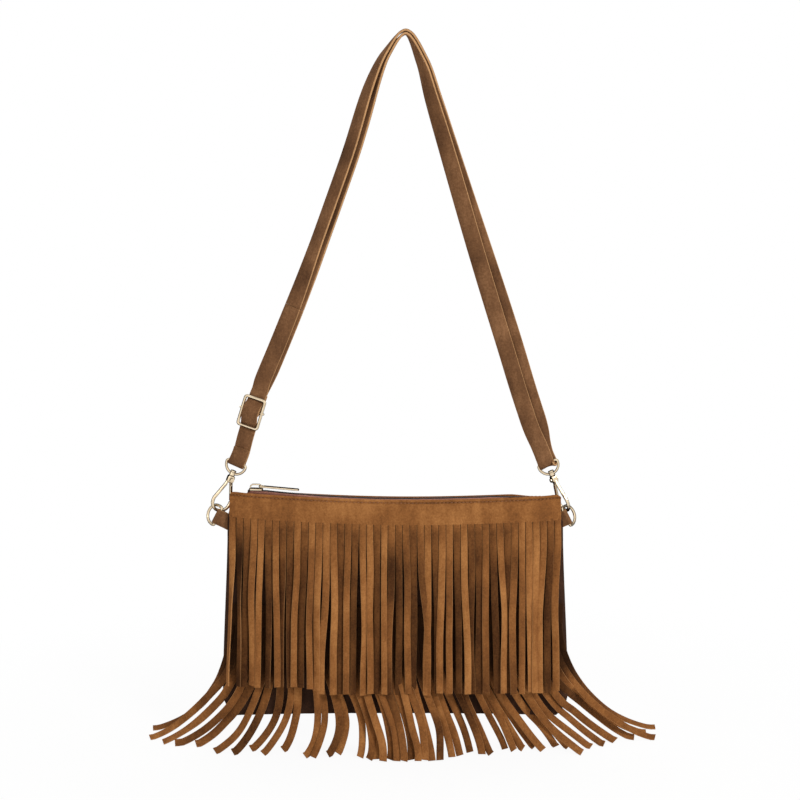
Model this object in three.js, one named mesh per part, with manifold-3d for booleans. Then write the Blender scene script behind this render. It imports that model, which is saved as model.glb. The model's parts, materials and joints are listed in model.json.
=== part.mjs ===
// A suede shoulder bag with two tiers of cut fringe, held up by the top of its strap.
// Millimetres, +Z up, front towards -Y. The origin is on the underside of the strap's apex, which holds it up.
import * as THREE from "three";
import { mergeVertices } from "three/addons/utils/BufferGeometryUtils.js";
import Module from "manifold-3d";

const wasm = await Module();
wasm.setup();

// Driving dimensions: pouch
const POUCH_CENTRE_X = -7.5;
const POUCH_TOP_Z = -353.5;
const POUCH_TOP_SAG = 4.2;
const POUCH_TOP_TILT = 2.5;
const POUCH_HEIGHT = 176;
const POUCH_TOP_WIDTH = 261;
const POUCH_BOTTOM_WIDTH = 273;
const POUCH_TOP_DEPTH = 15;
const POUCH_DEPTH = 31;
const POUCH_BOTTOM_DEPTH = 9;
const POUCH_BULGE_AT = 0.62;
const POUCH_CORNER_DROP = 3;
const TOP_CORNER_IN = 7.5;
const BOTTOM_CORNER_IN = 9;
const PANEL_THICKNESS = 1.6;
const SEAM_GAP = 0.6;
const LINING_THICKNESS = 0.6;
const LINING_INSET = 4;

// Driving dimensions: fringe
const FLOOR_Z = -557.3;
const STRIP_COUNT = 46;
const STRIP_FILL = 0.86;
const FRINGE_THICKNESS = 1.1;
const FRINGE_CLEAR = 1;
const UPPER_BAND = 19;
const UPPER_FRINGE_DROP = 152;
const LOWER_FRINGE_TOP_Z = -440;
const LOWER_BAND = 17;
const FLOOR_RUN_CENTRE = 36;
const FLOOR_RUN_SIDE = 24;
const TIP_SPREAD = 207;
const TIP_FRONT = 52;
const TIP_BACK = 46;

// Driving dimensions: zip
const ZIP_LEFT_IN = 15;
const ZIP_RIGHT_IN = 24;
const ZIP_LEFT_RISE = 2.6;
const ZIP_RIGHT_DROP = 3.1;
const TOOTH_PITCH = 4;
const TOOTH_HEIGHT = 1.7;
const TOOTH_REACH = 0.9;
const TAPE_THICKNESS = 0.6;
const TAPE_DROP = 15;
const TAPE_TAIL = 6;
const TAPE_START = 2.5;
const TOOTHLESS = 4;
const SLIDER_LENGTH = 11;
const SLIDER_WIDTH = 7;
const SLIDER_WALL = 1;
const CROWN_HEIGHT = 3.6;
const CROWN_WIDTH = 1.8;
const PULL_LENGTH = 31;
const PULL_WIDTH = 5.6;
const PULL_THICKNESS = 1.2;

// Driving dimensions: strap
const STRAP_WIDTH = 13;
const STRAP_THICKNESS = 2;
const LAYER_GAP = 0.5;
const STRAP_TWIST_DEG = 80;
const STRAP_HEM = 12;
const STRAP_APEX_X = 0.6;
const TWIST_LENGTH = 85;
const LOOSE_LEFT = 3.2;
const LOOSE_RIGHT = 0.6;
const EYE_TO_ADJUSTER = 41.6;
const SPLIT_ABOVE_ADJUSTER = 90;
const GRIP_ABOVE_ADJUSTER = 50;
const APEX_RUN = 28;
const APEX_STEP = 4;

// Driving dimensions: metal fittings
const RING_WIRE = 2.2;
const RING_INNER_WIDTH = 13.4;
const RING_DEPTH = 11.2;
const EYE_WIRE = 2;
const EYE_INNER_WIDTH = 14;
const EYE_DEPTH = 9.5;
const HOOK_WIRE = 2.4;
const HOOK_HALF_WIDTH = 7.2;
const HOOK_BEND_DROP = 34;
const HOOK_HEAD_WIDTH = 5.6;
const HOOK_HEAD_DEPTH = 4.4;
const HOOK_HEAD_HEIGHT = 6;
const PIVOT_DROP = 14.4;
const STUD_RADIUS = 1.15;
const RIVET_RADIUS = 0.75;
const GATE_THICKNESS = 1.5;
const ADJUSTER_WIDTH = 18.4;
const ADJUSTER_HEIGHT = 25.5;
const ADJUSTER_WIRE = 2.2;
const ADJUSTER_BAR = 1.7;
const CENTRE_BAR_DOWN = 0.43;
const TAB_WIDTH = 11.8;
const TAB_LAYER = 1.4;
const TAB_REACH = 17;
const GAP = 0.3;

const { smoothstep, lerp, clamp, degToRad } = THREE.MathUtils;
const UP = new THREE.Vector3(0, 0, 1);

// Materials
function material(color, roughness, metalness) {
  return new THREE.MeshStandardMaterial({ color, roughness, metalness });
}
const suede = () => material(0x8b5b33, 0.95, 0);
const suedeDark = () => material(0x6a4428, 0.95, 0);
const strapSuede = () => material(0x7c5837, 0.9, 0);
const textile = () => material(0x6b4038, 0.85, 0);
const coilPlastic = () => material(0x35211c, 0.5, 0);
const gold = () => material(0xe3cfa6, 0.25, 1);
const liningCloth = () => material(0x4a3022, 0.8, 0);

// Ends of the pouch's top and of its zip
const pouchLeftX = POUCH_CENTRE_X - POUCH_TOP_WIDTH / 2;
const pouchRightX = POUCH_CENTRE_X + POUCH_TOP_WIDTH / 2;
const zipLeft = { x: pouchLeftX + ZIP_LEFT_IN, z: POUCH_TOP_Z + ZIP_LEFT_RISE };
const zipRight = { x: pouchRightX - ZIP_RIGHT_IN, z: POUCH_TOP_Z - ZIP_RIGHT_DROP };

const bag = new THREE.Group();

// Adds one named mesh.
function add(name, geometry, mat, parent = bag) {
  const mesh = new THREE.Mesh(geometry, mat);
  mesh.name = name;
  parent.add(mesh);
  return mesh;
}

// Solids for cutting and joining
function solid(geometry) {
  const bare = geometry.index ? geometry.toNonIndexed() : geometry.clone();
  bare.deleteAttribute("normal");
  bare.deleteAttribute("uv");
  const merged = mergeVertices(bare, 1e-4);
  const vertProperties = new Float32Array(merged.attributes.position.array);
  const triVerts = new Uint32Array(merged.index.array);
  return new wasm.Manifold(new wasm.Mesh({ numProp: 3, vertProperties, triVerts }));
}

function fromSolid(made) {
  const mesh = made.getMesh();
  const positions = new Float32Array(mesh.numVert * 3);
  for (let i = 0; i < mesh.numVert; i++) {
    positions.set(mesh.vertProperties.subarray(i * mesh.numProp, i * mesh.numProp + 3), i * 3);
  }
  const geometry = new THREE.BufferGeometry();
  geometry.setAttribute("position", new THREE.BufferAttribute(positions, 3));
  geometry.setIndex(new THREE.BufferAttribute(new Uint32Array(mesh.triVerts), 1));
  geometry.computeVertexNormals();
  return geometry;
}

const join = (...parts) => fromSolid(parts.map(solid).reduce((a, b) => a.add(b)));

// A sheet of the given thickness from a set of cells. Each cell is four corner keys, anticlockwise seen from
// the side that the normals point to. place(key) gives a corner's { p, n }.
function thickSheet(cells, place, thickness) {
  const index = new Map();
  const positions = [];
  const triangles = [];
  const half = thickness / 2;
  const corner = (key) => {
    if (!index.has(key)) {
      const { p, n } = place(key);
      index.set(key, positions.length / 3);
      positions.push(p.x + n.x * half, p.y + n.y * half, p.z + n.z * half);
      positions.push(p.x - n.x * half, p.y - n.y * half, p.z - n.z * half);
    }
    return index.get(key);
  };
  const edges = new Map();
  for (const cell of cells) {
    const [a, b, c, d] = cell.map(corner);
    triangles.push(a, b, c, a, c, d);
    triangles.push(a + 1, c + 1, b + 1, a + 1, d + 1, c + 1);
    cell.forEach((key, i) => {
      const next = cell[(i + 1) % 4];
      edges.set(key + ">" + next, [corner(key), corner(next)]);
    });
  }
  for (const [name, [from, to]] of edges) {
    const [first, second] = name.split(">");
    if (!edges.has(second + ">" + first)) triangles.push(from, from + 1, to + 1, from, to + 1, to);
  }
  const geometry = new THREE.BufferGeometry();
  geometry.setAttribute("position", new THREE.Float32BufferAttribute(positions, 3));
  geometry.setIndex(triangles);
  geometry.computeVertexNormals();
  return geometry;
}

// A flat strip of rectangular section along stations { p, w }: w is the direction of its width.
function ribbon(stations, width, thickness) {
  const positions = [];
  const triangles = [];
  stations.forEach(({ p, w }, i) => {
    const before = stations[Math.max(0, i - 1)].p;
    const after = stations[Math.min(stations.length - 1, i + 1)].p;
    const across = w.clone().normalize().multiplyScalar(width / 2);
    const tangent = after.clone().sub(before).normalize();
    const normal = tangent.cross(w).normalize().multiplyScalar(thickness / 2);
    for (const [s, t] of [[1, 1], [-1, 1], [-1, -1], [1, -1]]) {
      positions.push(...p.clone().addScaledVector(across, s).addScaledVector(normal, t));
    }
    if (i === 0) return;
    const a = (i - 1) * 4;
    for (let k = 0; k < 4; k++) {
      const m = (k + 1) % 4;
      triangles.push(a + k, a + m, a + 4 + m, a + k, a + 4 + m, a + 4 + k);
    }
  });
  const last = (stations.length - 1) * 4;
  triangles.push(0, 2, 1, 0, 3, 2);
  triangles.push(last, last + 1, last + 2, last, last + 2, last + 3);
  const geometry = new THREE.BufferGeometry();
  geometry.setAttribute("position", new THREE.Float32BufferAttribute(positions, 3));
  geometry.setIndex(triangles);
  geometry.computeVertexNormals();
  return geometry;
}

// The bevel that makes a square section eight-sided, as a share of its width
const ROUND_SHARE = 0.29;

// A rounded bar of the given thickness from a shape, centred on its own plane
function roundedPlate(shape, thickness, round) {
  const geometry = new THREE.ExtrudeGeometry(shape, {
    depth: thickness - 2 * round,
    bevelThickness: round,
    bevelSize: round,
    bevelOffset: -round,
    bevelSegments: 1,
  });
  return geometry.translate(0, 0, round - thickness / 2);
}

// Points round a centre from one angle to another
function arcPoints(x, y, radiusX, radiusY, fromDeg, toDeg, steps) {
  const points = [];
  for (let i = 0; i <= steps; i++) {
    const turn = degToRad(lerp(fromDeg, toDeg, i / steps));
    points.push(new THREE.Vector2(x + Math.cos(turn) * radiusX, y + Math.sin(turn) * radiusY));
  }
  return points;
}

// The outline of a D, offset from its centre line: straight bar along X at y 0, bow towards +Y
function dOutline(halfWidth, depth, corner, offset) {
  const side = halfWidth + offset;
  const round = Math.max(corner + offset, 0.2);
  const bow = Math.max(corner, depth - halfWidth);
  return [
    ...arcPoints(side - round, round - offset, round, round, -90, 0, 3),
    ...arcPoints(0, bow, side, depth + offset - bow, 0, 180, 12),
    ...arcPoints(round - side, round - offset, round, round, 180, 270, 3),
  ];
}

// A rounded rectangle, centred
function plate(width, height, corner = 0.8) {
  const x = width / 2 - corner;
  const y = height / 2 - corner;
  return new THREE.Shape([
    ...arcPoints(x, y, corner, corner, 0, 90, 3),
    ...arcPoints(-x, y, corner, corner, 90, 180, 3),
    ...arcPoints(-x, -y, corner, corner, 180, 270, 3),
    ...arcPoints(x, -y, corner, corner, 270, 360, 3),
  ]);
}

// A closed D of round wire, as a die-cast ring has it.
function dRing(halfWidth, depth, corner, wire) {
  const outline = new THREE.Shape(dOutline(halfWidth, depth, corner, wire / 2));
  outline.holes.push(new THREE.Path(dOutline(halfWidth, depth, corner, -wire / 2)));
  return roundedPlate(outline, wire, wire * ROUND_SHARE);
}

// A shape that follows a centre line, with a half width for each point.
function strokeShape(points, halfWidth) {
  const sides = [[], []];
  points.forEach((point, i) => {
    const before = points[Math.max(0, i - 1)];
    const after = points[Math.min(points.length - 1, i + 1)];
    const along = after.clone().sub(before).normalize();
    const off = new THREE.Vector2(-along.y, along.x).multiplyScalar(halfWidth(i, points.length));
    sides[0].push(point.clone().add(off));
    sides[1].unshift(point.clone().sub(off));
  });
  return new THREE.Shape([...sides[0], ...sides[1]]);
}

const cylinder = (radius, length, sides = 16) => new THREE.CylinderGeometry(radius, radius, length, sides);

// Pouch form: where the panels lie
const acrossPouch = (x) => clamp((x - POUCH_CENTRE_X) / (POUCH_TOP_WIDTH / 2), -1, 1);
const tiltAt = (x) => POUCH_TOP_TILT * (acrossPouch(x) + 1) * 0.5;
const topZ = (x) => POUCH_TOP_Z - POUCH_TOP_SAG * (1 - acrossPouch(x) ** 2) ** 1.5 - tiltAt(x);
const bottomZ = (x) => POUCH_TOP_Z - POUCH_HEIGHT - POUCH_CORNER_DROP * Math.abs(acrossPouch(x)) ** 3;
const downPouch = (x, z) => clamp((topZ(x) - z) / (topZ(x) - bottomZ(x)), 0, 1);

function halfWidthAt(v) {
  const lower = Math.max(0, (v - 0.9) / 0.1);
  const upper = Math.max(0, 1 - v / 0.12);
  const straight = lerp(POUCH_TOP_WIDTH, POUCH_BOTTOM_WIDTH, smoothstep(v, 0, 1)) / 2;
  return straight - BOTTOM_CORNER_IN * lower ** 2 - TOP_CORNER_IN * upper ** 2;
}

// Half the pouch's depth at a height, outside the panels
function halfDepthAt(v) {
  const rise = Math.sin((Math.min(v / POUCH_BULGE_AT, 1) * Math.PI) / 2);
  const past = Math.max(0, (v - POUCH_BULGE_AT) / (1 - POUCH_BULGE_AT));
  const fall = Math.cos((past * Math.PI) / 2);
  const top = POUCH_TOP_DEPTH / 2;
  const bottom = POUCH_BOTTOM_DEPTH / 2;
  return v > POUCH_BULGE_AT ? lerp(bottom, POUCH_DEPTH / 2, fall) : lerp(top, POUCH_DEPTH / 2, rise);
}

// The side tabs' height on the seam, and the gap that their tongues hold open there
const TAB_CENTRE_V = 0.125;
const tabRoom = TAB_LAYER - SEAM_GAP / 2 + GAP;
const tabBulge = (v) => tabRoom * (1 - smoothstep(Math.abs(v - TAB_CENTRE_V), 0.07, 0.12));

// Half the pouch's depth outside the panels, u across and v down
function halfDepth(u, v) {
  const seam = PANEL_THICKNESS + SEAM_GAP / 2 + tabBulge(v);
  const across = (1 - Math.abs(u) ** lerp(10, 4, smoothstep(v, 0, 0.3))) ** 0.75;
  return seam + Math.max(0, halfDepthAt(v) - seam) * across;
}

const panelX = (u, v) => POUCH_CENTRE_X + u * halfWidthAt(v);
const panelZ = (u, v) => lerp(topZ(panelX(u, 0)), bottomZ(panelX(u, 0)), v);
const halfDepthXZ = (x, z) => {
  const v = downPouch(x, z);
  return halfDepth(clamp((x - POUCH_CENTRE_X) / halfWidthAt(v), -1, 1), v);
};

// A panel of the pouch: side -1 is the front, 1 the back
const PANEL_COLUMNS = 14;
const PANEL_ROWS = [0, 0.05, 0.125, 0.2, 0.25, 0.36, 0.52, 0.7, 0.84, 0.93, 1];

function panel(side) {
  const at = (key) => {
    const [i, j] = key.split(",").map(Number);
    const u = Math.sin(((i / PANEL_COLUMNS) * 2 - 1) * (Math.PI / 2));
    const v = PANEL_ROWS[j];
    const y = side * (halfDepth(u, v) - PANEL_THICKNESS / 2);
    return { p: new THREE.Vector3(panelX(u, v), y, panelZ(u, v)), n: new THREE.Vector3(0, -1, 0) };
  };
  const cells = [];
  for (let i = 0; i < PANEL_COLUMNS; i++) {
    for (let j = 0; j + 1 < PANEL_ROWS.length; j++) {
      cells.push([`${i},${j + 1}`, `${i + 1},${j + 1}`, `${i + 1},${j}`, `${i},${j}`]);
    }
  }
  return thickSheet(cells, at, PANEL_THICKNESS);
}

add("front_panel", panel(-1), suedeDark());
add("back_panel", panel(1), suede());

// Lining: one folded sheet inside the panels, open at its top
const LINING_COLUMNS = 8;
const LINING_ROWS = [0.12, 0.3, 0.5, 0.7, 0.88, 0.955];

function lining() {
  const turn = LINING_ROWS.length;
  const at = (key) => {
    const [i, j] = key.split(",").map(Number);
    const side = Math.sign(j - turn);
    const row = side === 0 ? turn - 1 : turn - Math.abs(j - turn);
    const v = LINING_ROWS[row] + (side === 0 ? 0.012 : 0);
    const u = Math.sin(((i / LINING_COLUMNS) * 2 - 1) * (Math.PI / 2)) * 0.955;
    const room = halfDepth(u, v) - PANEL_THICKNESS - GAP * 2 - LINING_THICKNESS / 2;
    const inset = u * LINING_INSET;
    const p = new THREE.Vector3(panelX(u, v) - inset, side * room, panelZ(u, v));
    return { p, n: new THREE.Vector3(0, side, side === 0 ? -1 : 0) };
  };
  const cells = [];
  for (let i = 0; i < LINING_COLUMNS; i++) {
    for (let j = 0; j < 2 * turn; j++) {
      cells.push([`${i},${j + 1}`, `${i + 1},${j + 1}`, `${i + 1},${j}`, `${i},${j}`]);
    }
  }
  return thickSheet(cells, at, LINING_THICKNESS);
}

add("lining", lining(), liningCloth());

// Fringe. A tier is a band with strips cut below it: each strip shares two of the band's lower corners.
const wave = (i, seed) => Math.sin(i * 12.9898 + seed * 78.233) * Math.sin(i * 4.1414 + seed * 3.7);

function tier({ left, right, bandRows, bandAt, stripAt, steps }) {
  const pitch = (right - left) / STRIP_COUNT;
  const at = (key) => {
    const [kind, i, j, k] = key.split(",");
    if (kind === "band") return bandAt(left + Number(i) * pitch, Number(j));
    const { p, w, tangent } = stripAt(Number(i), left + (Number(i) + 0.5) * pitch, Number(k) / steps);
    const n = tangent.clone().cross(w).normalize();
    return { p: p.clone().addScaledVector(w, (Number(j) - 0.5) * pitch * STRIP_FILL), n };
  };
  const cells = [];
  for (let i = 0; i < STRIP_COUNT; i++) {
    for (let j = 0; j < bandRows; j++) {
      cells.push([`band,${i},${j + 1}`, `band,${i + 1},${j + 1}`, `band,${i + 1},${j}`, `band,${i},${j}`]);
    }
    for (let k = 0; k < steps; k++) {
      const above = (side) => (k === 0 ? `band,${i + side},${bandRows}` : `strip,${i},${side},${k}`);
      cells.push([`strip,${i},0,${k + 1}`, `strip,${i},1,${k + 1}`, above(1), above(0)]);
    }
  }
  return thickSheet(cells, at, FRINGE_THICKNESS);
}

// Where the front of the pouch holds a strip off: below the bulge the strips hang straight down
const bulgeZ = POUCH_TOP_Z - POUCH_HEIGHT * POUCH_BULGE_AT;
const frontAt = (x, z) => halfDepthXZ(x, Math.max(z, bulgeZ)) + FRINGE_CLEAR + FRINGE_THICKNESS / 2;
const LAYER_STEP = FRINGE_THICKNESS + 0.4;
const layerOf = (i, depth) => (i % 2) * LAYER_STEP * smoothstep(depth, 0, 0.3);

// The upper tier hangs in front of the lower one
const upperClear = (z) => 3 * LAYER_STEP * smoothstep(LOWER_FRINGE_TOP_Z + 30 - z, 0, 28);

function upperFringe() {
  const reach = POUCH_TOP_WIDTH / 2 - 1;
  const slitZ = (x) => topZ(x) - UPPER_BAND;
  const tipZ = (x) => slitZ(x) - (UPPER_FRINGE_DROP - UPPER_BAND) + 4 * Math.max(0, -acrossPouch(x)) ** 2;
  const depthAt = (x, z) => -(frontAt(x, z) + upperClear(z));
  const place = (i, x, s) => {
    const z = lerp(slitZ(x), tipZ(x), s);
    const spread = 1 + 0.03 * s;
    const sway = (1.6 * wave(i, 1) * Math.sin(s * 3) + 1.2 * Math.sin(x / 23) * s) * smoothstep(s, 0.1, 0.5);
    const px = POUCH_CENTRE_X + (x - POUCH_CENTRE_X) * spread + sway;
    const innerX = px - Math.sign(px - POUCH_CENTRE_X) * 2 * s;
    return new THREE.Vector3(px, depthAt(innerX, z) - layerOf(i, s), z);
  };
  return tier({
    left: POUCH_CENTRE_X - reach,
    right: POUCH_CENTRE_X + reach,
    bandRows: 2,
    bandAt: (x, j) => {
      const z = topZ(x) - (UPPER_BAND * j) / 2 - (j === 0 ? 0.4 : 0);
      return { p: new THREE.Vector3(x, depthAt(x, z), z), n: new THREE.Vector3(0, -1, 0) };
    },
    stripAt: (i, x, s) => ({
      p: place(i, x, s),
      w: new THREE.Vector3(1, 0, 0),
      tangent: place(i, x, s + 0.01).sub(place(i, x, s - 0.01)).normalize(),
    }),
    steps: 4,
  });
}

// The lower tier's strips reach the surface below, bend and lie on it, fanned out at the sides
function lowerFringe() {
  const reach = halfWidthAt(0.5) - 2;
  const widest = Math.max(POUCH_TOP_WIDTH, POUCH_BOTTOM_WIDTH) / 2;
  const slitZ = LOWER_FRINGE_TOP_Z - LOWER_BAND;
  const lieZ = FLOOR_Z + FRINGE_THICKNESS / 2;
  const depthAt = (x, z) => -frontAt(x, z);
  const parts = (i, x) => {
    const side = clamp((x - POUCH_CENTRE_X) / reach, -1, 1);
    const far = Math.abs(side);
    const turn = degToRad(lerp(0, 98, far ** 3)) * Math.sign(side);
    const run = new THREE.Vector3(Math.sin(turn), -Math.cos(turn), 0);
    const runLength = lerp(FLOOR_RUN_CENTRE, FLOOR_RUN_SIDE, far ** 3);
    const spread = lerp(reach * 1.06, TIP_SPREAD, far ** 4);
    const tip = new THREE.Vector3(POUCH_CENTRE_X + side * spread, lerp(-TIP_FRONT, TIP_BACK, far ** 6), lieZ);
    const touch = tip.clone().addScaledVector(run, -runLength);
    const top = new THREE.Vector3(x, 0, slitZ);
    const hang = new THREE.Vector3(lerp(x, touch.x, 0.3), 0, slitZ - lerp(36, 20, far ** 6));
    const low = touch.clone().addScaledVector(run, -5).add(new THREE.Vector3(0, 0, 20));
    const curve = new THREE.CubicBezierCurve3(top, hang, low, touch);
    return { curve, touch, tip, run };
  };
  const BEND_AT = 0.75;
  const place = (i, x, s) => {
    const { curve, touch, tip } = parts(i, x);
    if (s > BEND_AT) return touch.clone().lerp(tip, (s - BEND_AT) / (1 - BEND_AT));
    const p = curve.getPoint(s / BEND_AT);
    const outside = smoothstep(Math.abs(p.x - POUCH_CENTRE_X), widest + 3, widest + 25);
    const below = smoothstep(bottomZ(p.x) - p.z, 1, 24);
    const innerX = p.x - Math.sign(p.x - POUCH_CENTRE_X) * 3;
    p.y = lerp(depthAt(innerX, p.z) - layerOf(i, s), touch.y, Math.max(outside, below));
    return p;
  };
  return tier({
    left: POUCH_CENTRE_X - reach,
    right: POUCH_CENTRE_X + reach,
    bandRows: 1,
    bandAt: (x, j) => {
      const z = LOWER_FRINGE_TOP_Z - LOWER_BAND * j;
      return { p: new THREE.Vector3(x, depthAt(x, z), z), n: new THREE.Vector3(0, -1, 0) };
    },
    stripAt: (i, x, s) => {
      const { run } = parts(i, x);
      const ahead = place(i, x, Math.min(1, s + 0.02));
      const tangent = s >= 1 ? run.clone() : ahead.sub(place(i, x, s - 0.02)).normalize();
      const level = UP.clone().cross(run);
      const w = new THREE.Vector3(1, 0, 0).lerp(level, smoothstep(s, 0.15, BEND_AT));
      w.addScaledVector(tangent, -w.dot(tangent)).normalize();
      return { p: place(i, x, s), w, tangent };
    },
    steps: 7,
  });
}

add("upper_fringe", upperFringe(), suede());
add("lower_fringe", lowerFringe(), suede());

// Zip. Its line runs straight from end to end; the coils mesh on it and the slider runs along it.
const zipStart = new THREE.Vector3(zipLeft.x, 0, zipLeft.z);
const zipEnd = new THREE.Vector3(zipRight.x, 0, zipRight.z);
const zipSpan = zipStart.distanceTo(zipEnd);
const zipZ = (x) => lerp(zipLeft.z, zipRight.z, (x - zipLeft.x) / (zipRight.x - zipLeft.x));
const zip = new THREE.Group();
zip.position.copy(zipStart);
zip.rotation.y = -Math.atan2(zipRight.z - zipLeft.z, zipRight.x - zipLeft.x);
bag.add(zip);

// A coil row: a rail with teeth that reach across the middle. side -1 is the front row
function coil(side) {
  const rail = TOOTH_REACH + GAP;
  const half = TOOTH_PITCH / 2;
  const shape = new THREE.Shape();
  const from = TOOTHLESS + (side > 0 ? half : 0);
  shape.moveTo(0, side * (rail + 1));
  shape.lineTo(0, side * rail);
  for (let x = from; x + half < zipSpan; x += TOOTH_PITCH) {
    shape.lineTo(x + GAP / 2, side * rail);
    shape.lineTo(x + GAP / 2, -side * TOOTH_REACH);
    shape.lineTo(x + half - GAP / 2, -side * TOOTH_REACH);
    shape.lineTo(x + half - GAP / 2, side * rail);
  }
  shape.lineTo(zipSpan, side * rail);
  shape.lineTo(zipSpan, side * (rail + 1));
  const geometry = new THREE.ExtrudeGeometry(shape, { depth: TOOTH_HEIGHT, bevelEnabled: false });
  return geometry.translate(0, 0, -TOOTH_HEIGHT / 2);
}

add("zip_coil_front", coil(-1), coilPlastic(), zip);
add("zip_coil_back", coil(1), coilPlastic(), zip);

// A tape: from the coil's rail down behind the panel's top edge
const TAPE_COLUMNS = 12;

function tape(side) {
  const at = (key) => {
    const [i, j] = key.split(",").map(Number);
    const x = lerp(zipLeft.x + TAPE_START, zipRight.x + TAPE_TAIL, i / TAPE_COLUMNS);
    const rail = TOOTH_REACH + GAP + 1 + GAP;
    const inside = (z) => halfDepthXZ(x, z) - PANEL_THICKNESS - 3.3 * GAP - TAPE_THICKNESS / 2;
    const behind = inside(topZ(x) - TAPE_DROP / 2);
    const edge = inside(topZ(x));
    const fold = SLIDER_WIDTH / 2 + 2 * GAP + TAPE_THICKNESS / 2;
    const sunk = zipZ(x) < topZ(x) + 1;
    const y = [rail, sunk ? Math.min(fold, edge) : fold, Math.min(fold, edge), Math.min(edge, behind)][j];
    const z = [zipZ(x), zipZ(x) - 0.3, topZ(x) - 2.1, topZ(x) - TAPE_DROP][j];
    const n = new THREE.Vector3(0, side * [0, 0.7, 1, 1][j], [1, 0.7, 0, 0][j]);
    return { p: new THREE.Vector3(x, side * y, z), n };
  };
  const cells = [];
  for (let i = 0; i < TAPE_COLUMNS; i++) {
    for (let j = 0; j < 3; j++) {
      const cell = [`${i},${j + 1}`, `${i + 1},${j + 1}`, `${i + 1},${j}`, `${i},${j}`];
      cells.push(side < 0 ? cell : cell.reverse());
    }
  }
  return thickSheet(cells, at, TAPE_THICKNESS);
}

add("zip_tape_front", tape(-1), textile());
add("zip_tape_back", tape(1), textile());

// End stop: a small clip over both tapes past the last tooth
const stop = add("zip_end_stop", roundedPlate(plate(4.4, 3), 1, 0.25), gold(), zip);
stop.position.set(zipSpan + 2.2, 0, 0);
stop.rotation.z = Math.PI / 2;

// Slider: two plates on a post, with flanges that hold the coils, and a crown that carries the pull
const channelHeight = TOOTH_HEIGHT + 2 * GAP;
const sliderHeight = channelHeight + 2 * SLIDER_WALL;
const sliderX = SLIDER_LENGTH / 2 + 1;
const crownFoot = sliderHeight / 2;
const pullAxis = { x: SLIDER_LENGTH * 0.22, z: crownFoot + CROWN_HEIGHT * 0.45 };

function slider() {
  const body = roundedPlate(plate(SLIDER_LENGTH, SLIDER_WIDTH, 2), sliderHeight, 0.4);
  const railWidth = 2 * (TOOTH_REACH + GAP + 1 + GAP);
  const channel = new THREE.BoxGeometry(SLIDER_LENGTH + 2, railWidth, channelHeight);
  const slot = new THREE.BoxGeometry(SLIDER_LENGTH + 2, SLIDER_WIDTH + 2, TAPE_THICKNESS + 1.5);
  const post = cylinder(TOOTH_REACH, sliderHeight - 0.4, 12).rotateX(Math.PI / 2);
  post.translate(1.2 - SLIDER_LENGTH / 2, 0, 0);
  const c = SLIDER_LENGTH / 2 - 0.9;
  const rise = CROWN_HEIGHT - 0.5;
  const half = [[-c, -0.1], [-c + 0.3, 0.61], [-c + 1.8, 0.97], [0, 1]];
  const bow = [...half, ...half.slice(0, 3).reverse().map(([x, share]) => [-x, share])];
  const arch = bow.map(([x, share]) => new THREE.Vector2(x, share * rise));
  const crown = roundedPlate(strokeShape(arch, () => 0.5), CROWN_WIDTH, 0.25).rotateX(Math.PI / 2);
  crown.translate(0, 0, crownFoot);
  const hollow = solid(channel).add(solid(slot));
  return fromSolid(solid(body).subtract(hollow).add(solid(post)).add(solid(crown)));
}

const sliderMesh = add("zip_slider", slider(), gold(), zip);
sliderMesh.position.x = sliderX;

// Pull: a flat tab whose eye holds the crown
const pullRest = Math.asin((pullAxis.z - TOOTH_HEIGHT / 2 - GAP - PULL_THICKNESS / 2) / PULL_LENGTH);

function pull() {
  const shape = plate(PULL_LENGTH + 0.7, PULL_WIDTH, 1.6);
  const eye = plate(3.4, CROWN_WIDTH + 0.9, 0.5);
  const eyeX = 2.4 - PULL_LENGTH / 2;
  const hole = new THREE.Path(eye.getPoints().map((q) => new THREE.Vector2(q.x + eyeX, q.y)));
  shape.holes.push(hole);
  return roundedPlate(shape, PULL_THICKNESS, 0.3).translate(PULL_LENGTH / 2, 0, 0);
}

const pullMesh = add("zip_pull", pull(), gold(), zip);
pullMesh.position.set(sliderX + pullAxis.x, 0, pullAxis.z);
pullMesh.rotation.y = pullRest;

// Hooks and rings, one set a side. side -1 is the left.
const SIDES = [
  { name: "left", side: -1, eyeIn: 6.4, eyeRise: 24.2, tilt: 22, hookYaw: 25, ringTilt: 40, barLean: 27.7 },
  { name: "right", side: 1, eyeIn: 11.1, eyeRise: 23.8, tilt: 22, hookYaw: 115, ringTilt: 50, barLean: 26.6 },
];
const EYE_YAW_DEG = STRAP_TWIST_DEG - 90;
const ringHalf = (RING_INNER_WIDTH + RING_WIRE) / 2;
const RING_CORNER = 1.6;
const RING_HOLD = 6;
const LINK_SLACK = 1.2;
const RING_ON_BEND_DEG = 33;

// The frame of a fitting: Y up along its axis, X across it, turned about Y by yaw
function fittingFrame(at, axis, yawDeg) {
  const x = new THREE.Vector3(axis.z, 0, -axis.x).normalize();
  const frame = new THREE.Matrix4().makeBasis(x, axis, x.clone().cross(axis));
  frame.multiply(new THREE.Matrix4().makeRotationY(degToRad(yawDeg)));
  return frame.setPosition(at);
}

function placed(name, geometry, frame, mat = gold()) {
  const mesh = add(name, geometry, mat);
  frame.decompose(mesh.position, mesh.quaternion, mesh.scale);
  return mesh;
}

// Swivel eye: a D over the strap's end, with a boss that turns on the hook's stud
const bossHeight = 2.4;
const bossTop = -EYE_DEPTH + bossHeight / 2;
const studHole = cylinder(STUD_RADIUS + GAP, bossHeight + 4, 14).translate(0, -EYE_DEPTH, 0);

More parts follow.
